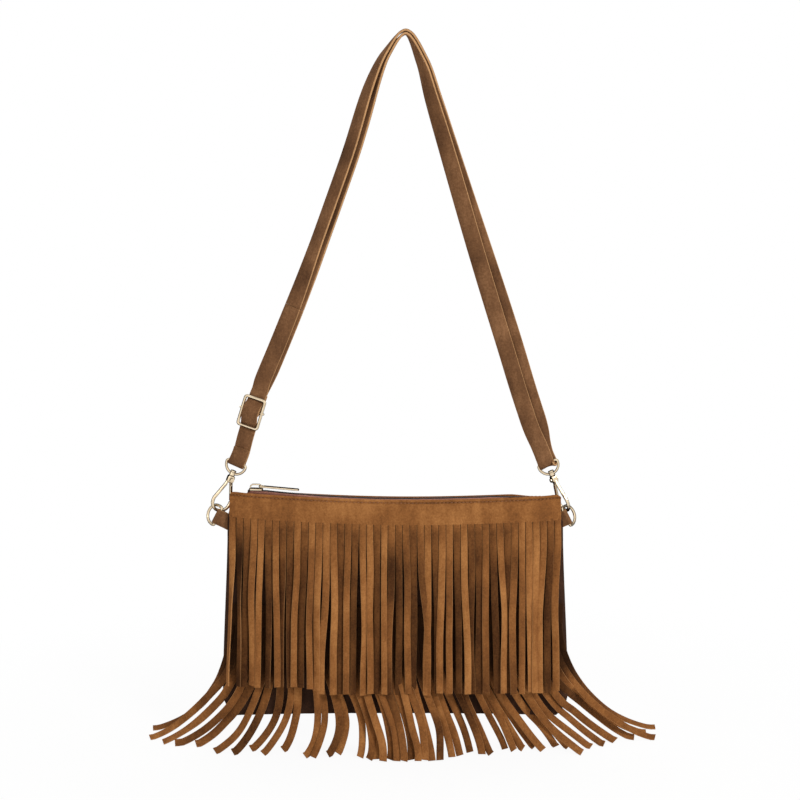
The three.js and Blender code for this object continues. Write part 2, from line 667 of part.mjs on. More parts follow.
function swivelEye() {
  const ring = dRing((EYE_INNER_WIDTH + EYE_WIRE) / 2, EYE_DEPTH, 1.6, EYE_WIRE).rotateZ(Math.PI);
  const boss = cylinder(STUD_RADIUS + GAP + 0.9, bossHeight, 14).translate(0, -EYE_DEPTH, 0);
  return fromSolid(solid(ring).add(solid(boss)).subtract(solid(studHole)));
}

// Hook: stud, head with a slot for the gate, and a flat-sided bow that ends in a nose
const headTop = -EYE_DEPTH - bossHeight / 2 - GAP;
const bendY = -HOOK_BEND_DROP;
const gateTip = new THREE.Vector2(HOOK_HALF_WIDTH * 0.985, bendY + 3.2);
const pivot = new THREE.Vector2(0.6, -PIVOT_DROP);

function hookBody() {
  const bend = [];
  for (let i = 0; i <= 10; i++) {
    const turn = Math.PI + (i / 10) * Math.PI;
    bend.push(new THREE.Vector2(Math.cos(turn) * HOOK_HALF_WIDTH, bendY + Math.sin(turn) * HOOK_HALF_WIDTH));
  }
  const inHead = new THREE.Vector2(-1.2, headTop - HOOK_HEAD_HEIGHT / 2);
  const below = new THREE.Vector2(-2.3, headTop - 8);
  const centre = [inHead, below, new THREE.Vector2(-HOOK_HALF_WIDTH, bendY + 1.8), ...bend];
  centre.push(new THREE.Vector2(HOOK_HALF_WIDTH, bendY + 2.2));
  const bow = roundedPlate(strokeShape(centre, () => HOOK_WIRE / 2), HOOK_WIRE, 0.6);
  const head = roundedPlate(plate(HOOK_HEAD_WIDTH, HOOK_HEAD_HEIGHT, 1.6), HOOK_HEAD_DEPTH, 0.6);
  head.translate(0, headTop - HOOK_HEAD_HEIGHT / 2, 0);
  const shaftTop = bossTop + GAP + 1.1;
  const shaftLength = shaftTop - headTop + 1;
  const shaft = cylinder(STUD_RADIUS, shaftLength, 14).translate(0, shaftTop - shaftLength / 2, 0);
  const cap = cylinder(STUD_RADIUS + GAP + 0.8, 1.1, 14).translate(0, shaftTop - 0.55, 0);
  const slotDepth = GATE_THICKNESS + 2 * GAP;
  const slot = new THREE.BoxGeometry(HOOK_HEAD_WIDTH, HOOK_HEAD_HEIGHT, slotDepth);
  slot.translate(pivot.x + 0.2, headTop - 1.2 - HOOK_HEAD_HEIGHT / 2, 0);
  const bore = cylinder(RIVET_RADIUS + GAP, HOOK_HEAD_DEPTH + 2, 12).rotateX(Math.PI / 2);
  bore.translate(pivot.x, pivot.y, 0);
  const whole = solid(bow).subtract(solid(slot)).add(solid(head).subtract(solid(slot)));
  return fromSolid(whole.add(solid(shaft)).add(solid(cap)).subtract(solid(bore)));
}

// Gate: a sprung bar from the rivet to the nose
const gateEnd = gateTip.clone().sub(pivot);
const gateLength = gateEnd.length() - GAP;

function gate() {
  const along = gateEnd.clone().normalize();
  const point = (d) => pivot.clone().addScaledVector(along, d);
  const tongue = roundedPlate(strokeShape([point(0), point(5.5)], () => 1.25), GATE_THICKNESS, 0.2);
  const knuckle = cylinder(1.7, GATE_THICKNESS, 14).rotateX(Math.PI / 2).translate(pivot.x, pivot.y, 0);
  const bar = roundedPlate(strokeShape([point(4.6), point(gateLength)], () => HOOK_WIRE / 2), HOOK_WIRE, 0.6);
  const bore = cylinder(RIVET_RADIUS + GAP, GATE_THICKNESS + 2, 12).rotateX(Math.PI / 2);
  bore.translate(pivot.x, pivot.y, 0);
  return fromSolid(solid(tongue).add(solid(knuckle)).add(solid(bar)).subtract(solid(bore)));
}

function rivet() {
  const headGap = HOOK_HEAD_DEPTH + 2 * GAP;
  const pin = cylinder(RIVET_RADIUS, headGap + 1, 12);
  const top = cylinder(1.7, 0.6, 12).translate(0, headGap / 2 + 0.3, 0);
  const bottom = cylinder(1.7, 0.6, 12).translate(0, -headGap / 2 - 0.3, 0);
  return join(pin, top, bottom).rotateX(Math.PI / 2).translate(pivot.x, pivot.y, 0);
}

// Side tab: a strip folded round the ring's bar, its tongue held in the side seam
function ringTab() {
  const wrap = RING_WIRE / 2 + GAP + TAB_LAYER;
  const shape = new THREE.Shape();
  shape.moveTo(TAB_REACH, -TAB_LAYER);
  shape.lineTo(TAB_REACH, TAB_LAYER);
  shape.lineTo(wrap + 0.6, TAB_LAYER);
  shape.lineTo(1.4, wrap - 0.3);
  shape.absarc(0, 0, wrap, degToRad(62), degToRad(298), false);
  shape.lineTo(1.4, 0.3 - wrap);
  shape.lineTo(wrap + 0.6, -TAB_LAYER);
  const hole = new THREE.Path();
  hole.absarc(0, 0, RING_WIRE / 2 + GAP, 0, Math.PI * 2, true);
  shape.holes.push(hole);
  const depth = TAB_WIDTH;
  const geometry = new THREE.ExtrudeGeometry(shape, { depth, bevelEnabled: false, curveSegments: 8 });
  return geometry.translate(0, 0, -depth / 2);
}

for (const set of SIDES) {
  const tilt = degToRad(set.tilt);
  const axis = new THREE.Vector3(-set.side * Math.sin(tilt), 0, Math.cos(tilt));
  const lean = degToRad(set.barLean);
  const barUp = new THREE.Vector3(-set.side * Math.sin(lean), 0, Math.cos(lean));
  const outward = new THREE.Vector3(set.side * Math.cos(lean), 0, Math.sin(lean));
  const bowed = outward.clone().multiplyScalar(Math.cos(degToRad(set.ringTilt)));
  bowed.y = Math.sin(degToRad(set.ringTilt));
  const onBend = HOOK_HALF_WIDTH - (HOOK_WIRE + RING_WIRE) / 2 - LINK_SLACK;
  const holdTurn = degToRad(RING_ON_BEND_DEG);
  const hold = new THREE.Vector3(-Math.sin(holdTurn), -Math.cos(holdTurn), 0);
  hold.multiplyScalar(onBend).add(new THREE.Vector3(0, bendY, 0));
  const turned = fittingFrame(new THREE.Vector3(), axis, set.hookYaw);
  const toHold = hold.applyMatrix4(turned);
  const bowCentre = RING_DEPTH - ringHalf;
  const holdAcross = Math.sqrt(ringHalf ** 2 - (RING_HOLD - bowCentre) ** 2);
  const fromBar = barUp.clone().multiplyScalar(holdAcross).addScaledVector(bowed, RING_HOLD);
  const edgeX = set.side < 0 ? pouchLeftX : pouchRightX;
  set.at = new THREE.Vector3(edgeX - set.side * set.eyeIn, fromBar.y - toHold.y, POUCH_TOP_Z + set.eyeRise);
  set.axis = axis;
  set.ringAt = set.at.clone().add(toHold).sub(fromBar);
  placed("swivel_eye_" + set.name, swivelEye(), fittingFrame(set.at, axis, EYE_YAW_DEG));
  const hookFrame = fittingFrame(set.at, axis, set.hookYaw);
  placed("hook_" + set.name, hookBody(), hookFrame);
  placed("hook_gate_" + set.name, gate(), hookFrame);
  placed("gate_rivet_" + set.name, rivet(), hookFrame);
  const ringFrame = new THREE.Matrix4().makeBasis(barUp, bowed, barUp.clone().cross(bowed));
  ringFrame.setPosition(set.ringAt);
  placed("d_ring_" + set.name, dRing(ringHalf, RING_DEPTH, RING_CORNER, RING_WIRE), ringFrame);
  const inward = outward.clone().negate();
  const tabFrame = new THREE.Matrix4().makeBasis(inward, barUp.clone().cross(inward), barUp);
  tabFrame.setPosition(set.ringAt);
  placed("ring_tab_" + set.name, ringTab(), tabFrame, suede());
}

// Strap: the line midway between its two layers, from the left eye over the apex to the right eye
// Each leg's points as shares of the way from the apex to the eye, across and down
const LEFT_LEG = [
  [0.9107, 0.8788],
  [0.7655, 0.7173],
  [0.5575, 0.5175],
  [0.3222, 0.2785],
  [0.177, 0.0957],
  [0.0908, 0.0389],
];
const RIGHT_LEG = [
  [0.1312, 0.057],
  [0.2336, 0.1477],
  [0.5121, 0.4237],
  [0.7951, 0.7046],
  [0.9766, 0.9424],
];
const [leftEye, rightEye] = SIDES.map((set) => set.at);
const legPoints = (leg, eye) =>
  leg.map(([out, down]) => new THREE.Vector3(lerp(STRAP_APEX_X, eye.x, out), eye.y * down ** 2, eye.z * down));
const aboveEye = ({ at, axis }) => at.clone().addScaledVector(axis, 9);
const spine = new THREE.CatmullRomCurve3([
  leftEye,
  aboveEye(SIDES[0]),
  ...legPoints(LEFT_LEG, leftEye),
  new THREE.Vector3(STRAP_APEX_X, 0, STRAP_THICKNESS + LAYER_GAP / 2),
  ...legPoints(RIGHT_LEG, rightEye),
  aboveEye(SIDES[1]),
  rightEye,
]);
const SPINE_STEPS = 32;
const spineSpans = LEFT_LEG.length + RIGHT_LEG.length + 4;
spine.arcLengthDivisions = SPINE_STEPS * spineSpans;
const leftLength = spine.getLengths()[SPINE_STEPS * (LEFT_LEG.length + 2)];
const rightLength = spine.getLength() - leftLength;

// The strap's frame at a distance from the apex, negative on the left: n is outward, w along the strap's width
function strapFrame(distance) {
  const along = clamp(leftLength + distance, 0, leftLength + rightLength);
  const tangent = spine.getTangentAt(along / (leftLength + rightLength));
  const p = spine.getPointAt(along / (leftLength + rightLength));
  p.addScaledVector(tangent, leftLength + distance - along);
  const twist = degToRad(STRAP_TWIST_DEG) * (1 - Math.exp(-((Math.abs(distance) / TWIST_LENGTH) ** 1.3)));
  const n = new THREE.Vector3(-tangent.z, 0, tangent.x).normalize().multiplyScalar(Math.cos(twist));
  n.y = Math.sign(distance) * Math.sin(twist);
  n.addScaledVector(tangent, -n.dot(tangent)).normalize();
  return { p, tangent, n, w: n.clone().cross(tangent) };
}

const strapStation = ([distance, offset]) => {
  const { p, n, w } = strapFrame(distance);
  return { p: p.addScaledVector(n, offset), w };
};

// Half the distance between the two layers' middles
function layerOffset(distance) {
  const far = Math.abs(distance);
  const loose = distance < 0 ? LOOSE_LEFT : LOOSE_RIGHT;
  const gap = LAYER_GAP + loose * smoothstep(far, 4, 26) * (1 - smoothstep(far, 40, 110));
  return (STRAP_THICKNESS + gap) / 2;
}

// A layer from one distance to another, side 1 outer and -1 inner
function layer(side, from, to, step = 18) {
  const count = Math.max(1, Math.round(Math.abs(to - from) / step));
  return Array.from({ length: count + 1 }, (_, i) => {
    const distance = lerp(from, to, i / count);
    return [distance, side * layerOffset(distance)];
  });
}

// Round a bar below: from offset -radius to +radius
const turnRound = (radius) => arcPoints(0, 0, radius, radius, 180, 360, 6).map((q) => [q.y, q.x]);

const eyeWrap = EYE_WIRE / 2 + GAP + STRAP_THICKNESS / 2;
const adjusterAt = EYE_TO_ADJUSTER - leftLength;
const splitAt = adjusterAt + SPLIT_ABOVE_ADJUSTER;
const gripAt = adjusterAt + GRIP_ABOVE_ADJUSTER;
const barAt = ADJUSTER_HEIGHT / 2 - ADJUSTER_WIRE / 2;
const centreBarAt = barAt - CENTRE_BAR_DOWN * 2 * barAt;
const behindBar = ADJUSTER_WIRE / 2 + GAP + STRAP_THICKNESS / 2;
const loopRadius = ADJUSTER_BAR / 2 + GAP + STRAP_THICKNESS / 2;
const overLoop = loopRadius + STRAP_THICKNESS + GAP;
const stack = STRAP_THICKNESS + GAP;
const near = rightLength - 8;
const apexEnd = APEX_RUN + 1.5 * APEX_STEP;

const loopStations = [
  ...layer(1, splitAt, -apexEnd),
  ...layer(1, -APEX_RUN, APEX_RUN, APEX_STEP),
  ...layer(1, apexEnd, near),
  ...turnRound(eyeWrap).reverse().map(([s, o]) => [rightLength - s, o]),
  ...layer(-1, near, apexEnd),
  ...layer(-1, APEX_RUN, -APEX_RUN, APEX_STEP),
  ...layer(-1, -apexEnd, splitAt),
];
add("strap", ribbon(loopStations.map(strapStation), STRAP_WIDTH, STRAP_THICKNESS), strapSuede());

// The run that the adjuster grips: behind its top bar, over the loop on its centre bar, behind its lower bar
const gripped = [
  [36, STRAP_THICKNESS / 2 + 0.2],
  [26, 0.6],
  [19, -1.2],
  [barAt + 2.6, -behindBar + 0.1],
  [barAt - 0.6, -behindBar - 0.1],
  [8.6, -1],
  [5.8, 2.2],
  [centreBarAt + 2, overLoop - 0.2],
  [centreBarAt - 0.6, overLoop + 0.1],
  [-2.4, overLoop - 1.2],
  [-6.4, 0.4],
  [1.6 - barAt, -behindBar + 0.4],
  [-0.6 - barAt, -behindBar - 0.1],
  [-3.4 - barAt, -behindBar + 0.2],
  [-21, -0.9],
];
const hemmed = [
  [14, -0.4],
  [9, -1.2],
  [4, -1.7],
  ...turnRound(eyeWrap),
  [4, 1.7],
  [9, 1.2],
  [STRAP_HEM, 1.2],
];
const runStations = [
  ...layer(1, splitAt - GAP, gripAt),
  ...gripped.map(([s, o]) => [adjusterAt + s, o]),
  ...hemmed.map(([s, o]) => [s - leftLength, o]),
];
add("strap_adjusting_run", ribbon(runStations.map(strapStation), STRAP_WIDTH, STRAP_THICKNESS), strapSuede());

// The end that comes back: sewn round the adjuster's centre bar
const returned = [
  [36, -STRAP_THICKNESS / 2 - 0.3],
  [26, -1.8],
  [19, -3.7],
  [barAt + 2.4, -behindBar - stack],
  [barAt - 1.2, -behindBar - stack - 0.2],
  [8.2, -4.6],
  [5.6, -1.9],
  [centreBarAt + 2.1, 0.6],
  ...arcPoints(0, 0, loopRadius, loopRadius, 45, -170, 7).map((q) => [centreBarAt + q.y, q.x]),
  [4, -4],
  [6.4, -6.2],
  [9.6, -7.4],
  [STRAP_HEM + 3, -7.5],
];
const returnStations = [...layer(-1, splitAt - GAP, gripAt)];
returnStations.push(...returned.map(([s, o]) => [adjusterAt + s, o]));
add("strap_return", ribbon(returnStations.map(strapStation), STRAP_WIDTH, STRAP_THICKNESS), strapSuede());

// Adjuster: a frame with a centre bar whose ends stand out at its sides
const { p: adjusterMiddle, tangent: adjusterUp, w: adjusterAcross } = strapFrame(adjusterAt);
const adjusterFrame = new THREE.Matrix4();
adjusterFrame.makeBasis(adjusterAcross, adjusterUp, adjusterAcross.clone().cross(adjusterUp));

function adjuster() {
  const outline = plate(ADJUSTER_WIDTH, ADJUSTER_HEIGHT, 2.6);
  const window = plate(ADJUSTER_WIDTH - 2 * ADJUSTER_WIRE, ADJUSTER_HEIGHT - 2 * ADJUSTER_WIRE, 1);
  outline.holes.push(new THREE.Path(window.getPoints()));
  const frame = roundedPlate(outline, ADJUSTER_WIRE, ADJUSTER_WIRE * ROUND_SHARE);
  const bar = cylinder(ADJUSTER_BAR / 2, ADJUSTER_WIDTH + 2, 10).rotateZ(Math.PI / 2);
  bar.translate(0, centreBarAt, 0);
  return join(frame, bar);
}

placed("strap_adjuster", adjuster(), adjusterFrame.setPosition(adjusterMiddle));

export default bag;
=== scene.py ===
import json
import math

import bmesh
import bpy
import numpy as np
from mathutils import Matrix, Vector


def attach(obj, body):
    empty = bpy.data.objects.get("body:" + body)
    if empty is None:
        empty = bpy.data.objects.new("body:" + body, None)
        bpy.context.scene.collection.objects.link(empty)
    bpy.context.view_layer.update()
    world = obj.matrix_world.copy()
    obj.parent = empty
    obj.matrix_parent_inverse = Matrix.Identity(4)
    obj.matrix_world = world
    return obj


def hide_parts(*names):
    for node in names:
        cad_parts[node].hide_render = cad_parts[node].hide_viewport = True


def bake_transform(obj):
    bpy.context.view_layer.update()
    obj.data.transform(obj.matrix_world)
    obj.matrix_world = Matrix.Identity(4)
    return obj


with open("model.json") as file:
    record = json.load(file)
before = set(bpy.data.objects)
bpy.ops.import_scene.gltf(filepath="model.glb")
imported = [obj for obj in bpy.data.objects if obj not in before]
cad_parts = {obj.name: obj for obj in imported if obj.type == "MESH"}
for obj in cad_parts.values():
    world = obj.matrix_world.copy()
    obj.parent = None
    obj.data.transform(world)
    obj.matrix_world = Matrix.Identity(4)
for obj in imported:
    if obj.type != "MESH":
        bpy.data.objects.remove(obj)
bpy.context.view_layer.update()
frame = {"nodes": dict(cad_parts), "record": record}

joints = {joint["name"]: joint for joint in frame["record"]["behaviour"]["joints"]}


# Small numeric helpers
def smooth(x, a, b):
    """0 at a, 1 at b, with a soft start and end."""
    t = np.clip((np.asarray(x, float) - a) / (b - a), 0, 1)
    return t * t * (3 - 2 * t)


def mix(a, b, t):
    return a + (b - a) * t


def chance(i, seed):
    """A fixed number from -1 to 1 that looks random."""
    value = math.sin(i * 12.9898 + seed * 78.233) * 43758.5453
    return 2 * (value - math.floor(value)) - 1


def unit(v):
    return v / np.maximum(np.linalg.norm(v, axis=-1, keepdims=True), 1e-9)


def distances(line):
    """How far each point of a line is from its start, along the line."""
    return np.concatenate([[0], np.cumsum(np.linalg.norm(np.diff(line, axis=0), axis=1))])


# Camera, placed as the photograph's was
CAMERA_AT = (-3.8, -1455.7, -74.6)
CAMERA_PITCH = 8
CAMERA_LENS = 85.05
CAMERA_SENSOR = 36
AIM_Z = -279.2
AIM_DISTANCE = 1470
FOCAL_PIXELS = 1890
PHOTO_MIDDLE = 400
PITCH_SIN, PITCH_COS = 0.1392, 0.9903
FLOOR_Z = -557.3


def place_camera():
    data = bpy.data.cameras.new("camera")
    data.lens = CAMERA_LENS
    data.sensor_width = CAMERA_SENSOR
    camera = bpy.data.objects.new("camera", data)
    camera.location = [c / 1000 for c in CAMERA_AT]
    camera.rotation_euler = (math.radians(90 - CAMERA_PITCH), 0, 0)
    bpy.context.scene.collection.objects.link(camera)
    bpy.context.scene.camera = camera


place_camera()


def on_floor(px, py, height=0.0):
    """The point at a height above the floor that the photograph shows at a pixel."""
    dz = FLOOR_Z + height - AIM_Z
    d = py - PHOTO_MIDDLE
    rise = FOCAL_PIXELS * dz * PITCH_COS + d * (AIM_DISTANCE - dz * PITCH_SIN)
    y = -rise / (FOCAL_PIXELS * PITCH_SIN + d * PITCH_COS)
    depth = AIM_DISTANCE + y * PITCH_COS - dz * PITCH_SIN
    return np.array([(px - PHOTO_MIDDLE) * depth / FOCAL_PIXELS + CAMERA_AT[0], y, FLOOR_Z + height])


# Meshes
HEXAGON = np.linspace(0, 2 * math.pi, 7)[:-1]
SHARP_ANGLE = 62


class Form:
    """Vertices, faces and two numbers for each vertex: its tone, which below 0.34 paints shade, and how far it
    is a cut edge, which paints sheen.
    """

    def __init__(self):
        self.points, self.faces, self.tones, self.edges = [], [], [], []
        self.count = 0

    def add(self, points, faces, tone, edge):
        points = np.asarray(points, float).reshape(-1, 3)
        self.points.append(points)
        self.tones.append(np.broadcast_to(tone, len(points)))
        self.edges.append(np.broadcast_to(edge, len(points)))
        self.faces.extend([tuple(int(i) + self.count for i in face) for face in faces])
        self.count += len(points)

    def loft(self, rings, tone=0.5, edge=0.0):
        """A closed body through rings of the same number of points."""
        n, m = rings.shape[:2]
        i, j = np.meshgrid(np.arange(n - 1), np.arange(m), indexing="ij")
        k = (j + 1) % m
        walls = np.stack([i * m + j, i * m + k, (i + 1) * m + k, (i + 1) * m + j], -1)
        faces = walls.reshape(-1, 4).tolist()
        faces.append(list(range(m - 1, -1, -1)))
        faces.append([(n - 1) * m + j for j in range(m)])
        tone = np.broadcast_to(np.asarray(tone, float).reshape(-1, 1), (n, m)).ravel()
        edge = np.broadcast_to(np.asarray(edge, float).reshape(1, -1), (n, m)).ravel()
        self.add(rings, faces, tone, edge)

    def sheet(self, points, thickness, tone=0.5):
        """A closed sheet about a grid of points, rows by columns."""
        rows, columns = points.shape[:2]
        normal = unit(np.cross(np.gradient(points, axis=1), np.gradient(points, axis=0)))
        both = np.stack([points + normal * thickness / 2, points - normal * thickness / 2])
        index = np.arange(2 * rows * columns).reshape(2, rows, columns)
        quad = lambda g: np.stack([g[:-1, :-1], g[1:, :-1], g[1:, 1:], g[:-1, 1:]], -1).reshape(-1, 4)
        faces = [*quad(index[0]).tolist(), *quad(index[1])[:, ::-1].tolist()]
        for line, turned in ((0, 1), (-1, 0)):
            for pair, flip in ((index[:, line, :], turned), (index[:, :, line], 1 - turned)):
                painted_reflection = np.stack([pair[0, :-1], pair[0, 1:], pair[1, 1:], pair[1, :-1]], -1)
                faces.extend((painted_reflection[:, ::-1] if flip else painted_reflection).tolist())
        self.add(both, faces, np.broadcast_to(tone, (2, rows, columns)).ravel(), 0.0)


def make(name, form, material, body, nodes=()):
    """A piece from a form, on its body and the nodes that it stands for."""
    mesh = bpy.data.meshes.new(name)
    mesh.from_pydata((np.concatenate(form.points) / 1000).tolist(), [], form.faces)
    for label, values in (("tone", form.tones), ("cut_edge", form.edges)):
        layer = mesh.attributes.new(label, "FLOAT", "POINT")
        layer.data.foreach_set("value", np.concatenate(values).astype(np.float32))
    mesh.materials.append(material)
    turn_out(mesh)
    piece = bpy.data.objects.new(name, mesh)
    bpy.context.scene.collection.objects.link(piece)
    if body:
        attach(piece, body)
    if nodes:
        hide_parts(*nodes)
    return piece


def turn_out(mesh):
    """Turns all faces outwards and shades them smooth up to a sharp edge."""
    work = bmesh.new()
    work.from_mesh(mesh)
    bmesh.ops.recalc_face_normals(work, faces=work.faces)
    work.to_mesh(mesh)
    work.free()
    mesh.polygons.foreach_set("use_smooth", [True] * len(mesh.polygons))
    mesh.set_sharp_from_angle(angle=math.radians(SHARP_ANGLE))


def frames_along(points, across):
    """Unit tangent, width and normal directions along a line of points."""
    tangent = unit(np.gradient(points, axis=0))
    across = unit(across - tangent * np.sum(across * tangent, axis=1, keepdims=True))
    return tangent, across, np.cross(tangent, across)


def strip(form, points, across, width, thickness, cup=0.0, tone=0.5, ends=0.0):
    """A flat strip with soft corners along a line. cup bows its section, ends slants its last cut."""
    tangent, across, normal = frames_along(points, across)
    width = np.broadcast_to(width, len(points)).reshape(-1, 1)
    cup = np.broadcast_to(cup, len(points)).reshape(-1, 1)
    half, round_off = thickness / 2, min(0.3, thickness * 0.3)
    u = np.array([-1, -1, 0, 1, 1, 1, 1, 0, -1, -1])
    inset = np.array([0, 1, 0, -1, 0, 0, -1, 0, 1, 0])
    t = np.array([-0.45, -1, -1, -1, -0.45, 0.45, 1, 1, 1, 0.45]) * half
    edge = np.array([1, 0, 0, 0, 1, 1, 0, 0, 0, 1])
    offset = u * width / 2 + inset * round_off
    lift = t + cup * (np.abs(u) - 0.5)
    rings = points[:, None] + across[:, None] * offset[..., None] + normal[:, None] * lift[..., None]
    rings[-1] += tangent[-1] * (offset[-1] * ends)[:, None]
    form.loft(rings, tone, edge)


def stitches(line, normal, pitch=3.2, length=2.3, radius=0.3):
    """Thread along a line of points: one short arched stitch after another."""
    form = Form()
    steps = distances(line)
    at = lambda values, d: np.stack([np.interp(d, steps, values[:, k]) for k in range(3)], -1)
    count = int(steps[-1] // pitch)
    for i in range(count):
        d = (i + 0.5) * steps[-1] / count + np.linspace(-0.5, 0.5, 5) * length
        centre, up = at(line, d), unit(at(normal, d))
        centre = centre + up * (np.array([-0.55, 0.55, 0.8, 0.55, -0.55]) * radius)[:, None]
        _, side, lift = frames_along(centre, np.cross(up, np.gradient(centre, axis=0)))
        size = np.array([0.55, 0.95, 1, 0.95, 0.55])[:, None, None] * radius
        ring = np.cos(HEXAGON)[None, :, None] * side[:, None]
        ring = ring + np.sin(HEXAGON)[None, :, None] * lift[:, None]
        form.loft(centre[:, None] + ring * size, 0.5 + 0.3 * chance(i, 9))
    return form


# Materials
def linear(*rgb):
    return [((c / 255 + 0.055) / 1.055) ** 2.4 if c > 10 else c / 255 / 12.92 for c in rgb] + [1.0]


class Nodes:
    """The node tree of a new material, or of a world, with short calls."""

    def __init__(self, name, world=None):
        self.material = world or bpy.data.materials.new(name)
        self.material.use_nodes = True
        self.tree = self.material.node_tree
        if not world:
            self.shader = self.tree.nodes["Principled BSDF"]
            self.place = self.add("ShaderNodeTexCoord").outputs["Object"]

    def add(self, kind, **values):
        node = self.tree.nodes.new(kind)
        for key, value in values.items():
            setattr(node, key, value)
        return node

    def feed(self, value, socket):
        if isinstance(value, bpy.types.NodeSocket):
            self.tree.links.new(value, socket)
        else:
            socket.default_value = value

    def noise(self, scale, detail=2.0, rough=0.5, place=None):
        node = self.add("ShaderNodeTexNoise")
        self.feed(place or self.place, node.inputs["Vector"])
        self.feed(scale, node.inputs["Scale"])
        self.feed(detail, node.inputs["Detail"])
        self.feed(rough, node.inputs["Roughness"])
        return node.outputs["Fac"]

    def stretched(self, x, y, z):
        node = self.add("ShaderNodeMapping")
        self.feed(self.place, node.inputs["Vector"])
        node.inputs["Scale"].default_value = (x, y, z)
        return node.outputs["Vector"]

    def math(self, kind, a, b=0.0, c=0.0):
        node = self.add("ShaderNodeMath", operation=kind)
        for value, socket in zip((a, b, c), node.inputs):
            self.feed(value, socket)
        return node.outputs[0]

    def weighted(self, *terms):
        """The sum of values, each times its weight."""
        *rest, (value, weight) = terms
        total = self.math("MULTIPLY", value, weight)
        for value, weight in reversed(rest):
            total = self.math("MULTIPLY_ADD", value, weight, total)
        return total

    def ramp(self, fac, *stops):
        node = self.add("ShaderNodeValToRGB")
        self.feed(fac, node.inputs["Fac"])
        while len(node.color_ramp.elements) < len(stops):
            node.color_ramp.elements.new(1.0)
        for element, (at, color) in zip(node.color_ramp.elements, stops):
            element.position = at
            element.color = color if hasattr(color, "__len__") else (color, color, color, 1)
        return node.outputs["Color"]

    def blend(self, fac, a, b, kind="MIX"):
        node = self.add("ShaderNodeMix", data_type="RGBA", blend_type=kind)
        self.feed(fac, node.inputs["Factor"])
        self.feed(a, node.inputs[6])
        self.feed(b, node.inputs[7])
        return node.outputs[2]

    def mix_shaders(self, fac, a, b, output):
        """Shows shader b by fac and a by the rest."""
        both = self.add("ShaderNodeMixShader")
        for value, socket in zip((fac, a, b), both.inputs):
            self.feed(value, socket)
        self.feed(both.outputs[0], self.tree.nodes[output].inputs["Surface"])

    def seen_directly(self):
        """1 for what the camera sees, also in metal, and 0 for the light that falls on the bag."""
        path = self.add("ShaderNodeLightPath").outputs
        mirrored = self.math("MAXIMUM", path["Is Glossy Ray"], path["Is Transmission Ray"])
        return self.math("MAXIMUM", path["Is Camera Ray"], mirrored)

    def own(self, name):
        return self.add("ShaderNodeAttribute", attribute_name=name).outputs["Fac"]

    def set(self, **values):
        for key, value in values.items():
            self.feed(value, self.shader.inputs[key.replace("_", " ")])

    def bump(self, height, strength, distance):
        node = self.add("ShaderNodeBump")
        self.feed(height, node.inputs["Height"])
        node.inputs["Strength"].default_value = strength
        node.inputs["Distance"].default_value = distance
        self.feed(node.outputs["Normal"], self.shader.inputs["Normal"])


def suede(name, *colors):
    dark, middle, light, edge = (linear(*color) for color in colors)
    n = Nodes(name)
    nap = n.noise(620, 4, 0.7)
    grain = n.noise(2300, 2, 0.6)
    brushed = n.noise(1, 3, 0.6, n.stretched(160, 160, 34))
    mottle = n.noise(52, 3, 0.55)
    tone = n.own("tone")
    value = n.weighted((nap, 0.55), (brushed, 0.35), (mottle, 0.45))
    value = n.math("MULTIPLY_ADD", n.math("SUBTRACT", tone, 0.5), 0.62, value)
    value = n.math("MULTIPLY_ADD", grain, 0.22, n.math("SUBTRACT", value, 0.28))
    color = n.ramp(value, (0.18, dark), (0.5, middle), (0.82, light))
    # Cut edges blend towards the fourth colour: a painted sheen along the edges.
    edge_sheen = n.math("MULTIPLY", n.own("cut_edge"), n.math("MULTIPLY_ADD", nap, 0.7, 0.3))
    color = n.blend(edge_sheen, color, edge)
    # Tone below 0.34 darkens the colour down to a fifth: painted shade where other parts keep the light off.
    color = n.blend(1.0, color, n.ramp(tone, (0.0, 0.2), (0.34, 1.0)), "MULTIPLY")
    n.set(Base_Color=color, Roughness=0.94, Specular_IOR_Level=0.1)
    n.set(Sheen_Weight=0.1, Sheen_Roughness=0.5, Sheen_Tint=light)
    n.bump(n.weighted((grain, 0.4), (nap, 0.7), (mottle, 0.8)), 0.6, 0.0004)
    return n.material


def metal(name, color, painted_reflection, rough):
    """A plated metal whose colour is painted dark where it turns away from the view: a painted reflection."""
    n = Nodes(name)
    wear = n.noise(240, 3, 0.6)
    scratches = n.noise(1, 2, 0.5, n.stretched(2600, 2600, 260))
    facing = n.add("ShaderNodeLayerWeight")
    facing.inputs["Blend"].default_value = 0.5
    face = n.blend(n.ramp(wear, (0.35, 0.0), (0.7, 0.35)), color, linear(190, 160, 118))
    # Painted reflection: the colour turns to the dark second colour as the surface turns away.
    turned = n.ramp(facing.outputs["Facing"], (0.1, 0.0), (0.46, 1.0))
    n.set(Base_Color=n.blend(turned, face, painted_reflection), Metallic=1.0, Specular_Tint=linear(120, 98, 72))
    n.set(Roughness=n.math("MULTIPLY_ADD", scratches, 0.16, n.math("MULTIPLY_ADD", wear, 0.12, rough)))
    n.bump(scratches, 0.08, 0.0001)
    return n.material


def woven(name, light, dark, scale):
    n = Nodes(name)
    ribs = n.add("ShaderNodeTexWave", wave_type="BANDS", bands_direction="X")
    n.feed(n.place, ribs.inputs["Vector"])
    ribs.inputs["Scale"].default_value = scale
    ribs.inputs["Distortion"].default_value = 0.6
    weft = n.add("ShaderNodeTexWave", wave_type="BANDS", bands_direction="Z")
    n.feed(n.place, weft.inputs["Vector"])
    weft.inputs["Scale"].default_value = scale * 0.8
    cloth = n.math("MULTIPLY", ribs.outputs["Fac"], weft.outputs["Fac"])
    value = n.weighted((cloth, 0.6), (n.noise(90, 3), 0.5))
    n.set(Base_Color=n.ramp(value, (0.15, dark), (0.75, light)), Roughness=0.86, Sheen_Weight=0.15)
    n.bump(cloth, 0.6, 0.0003)
    return n.material


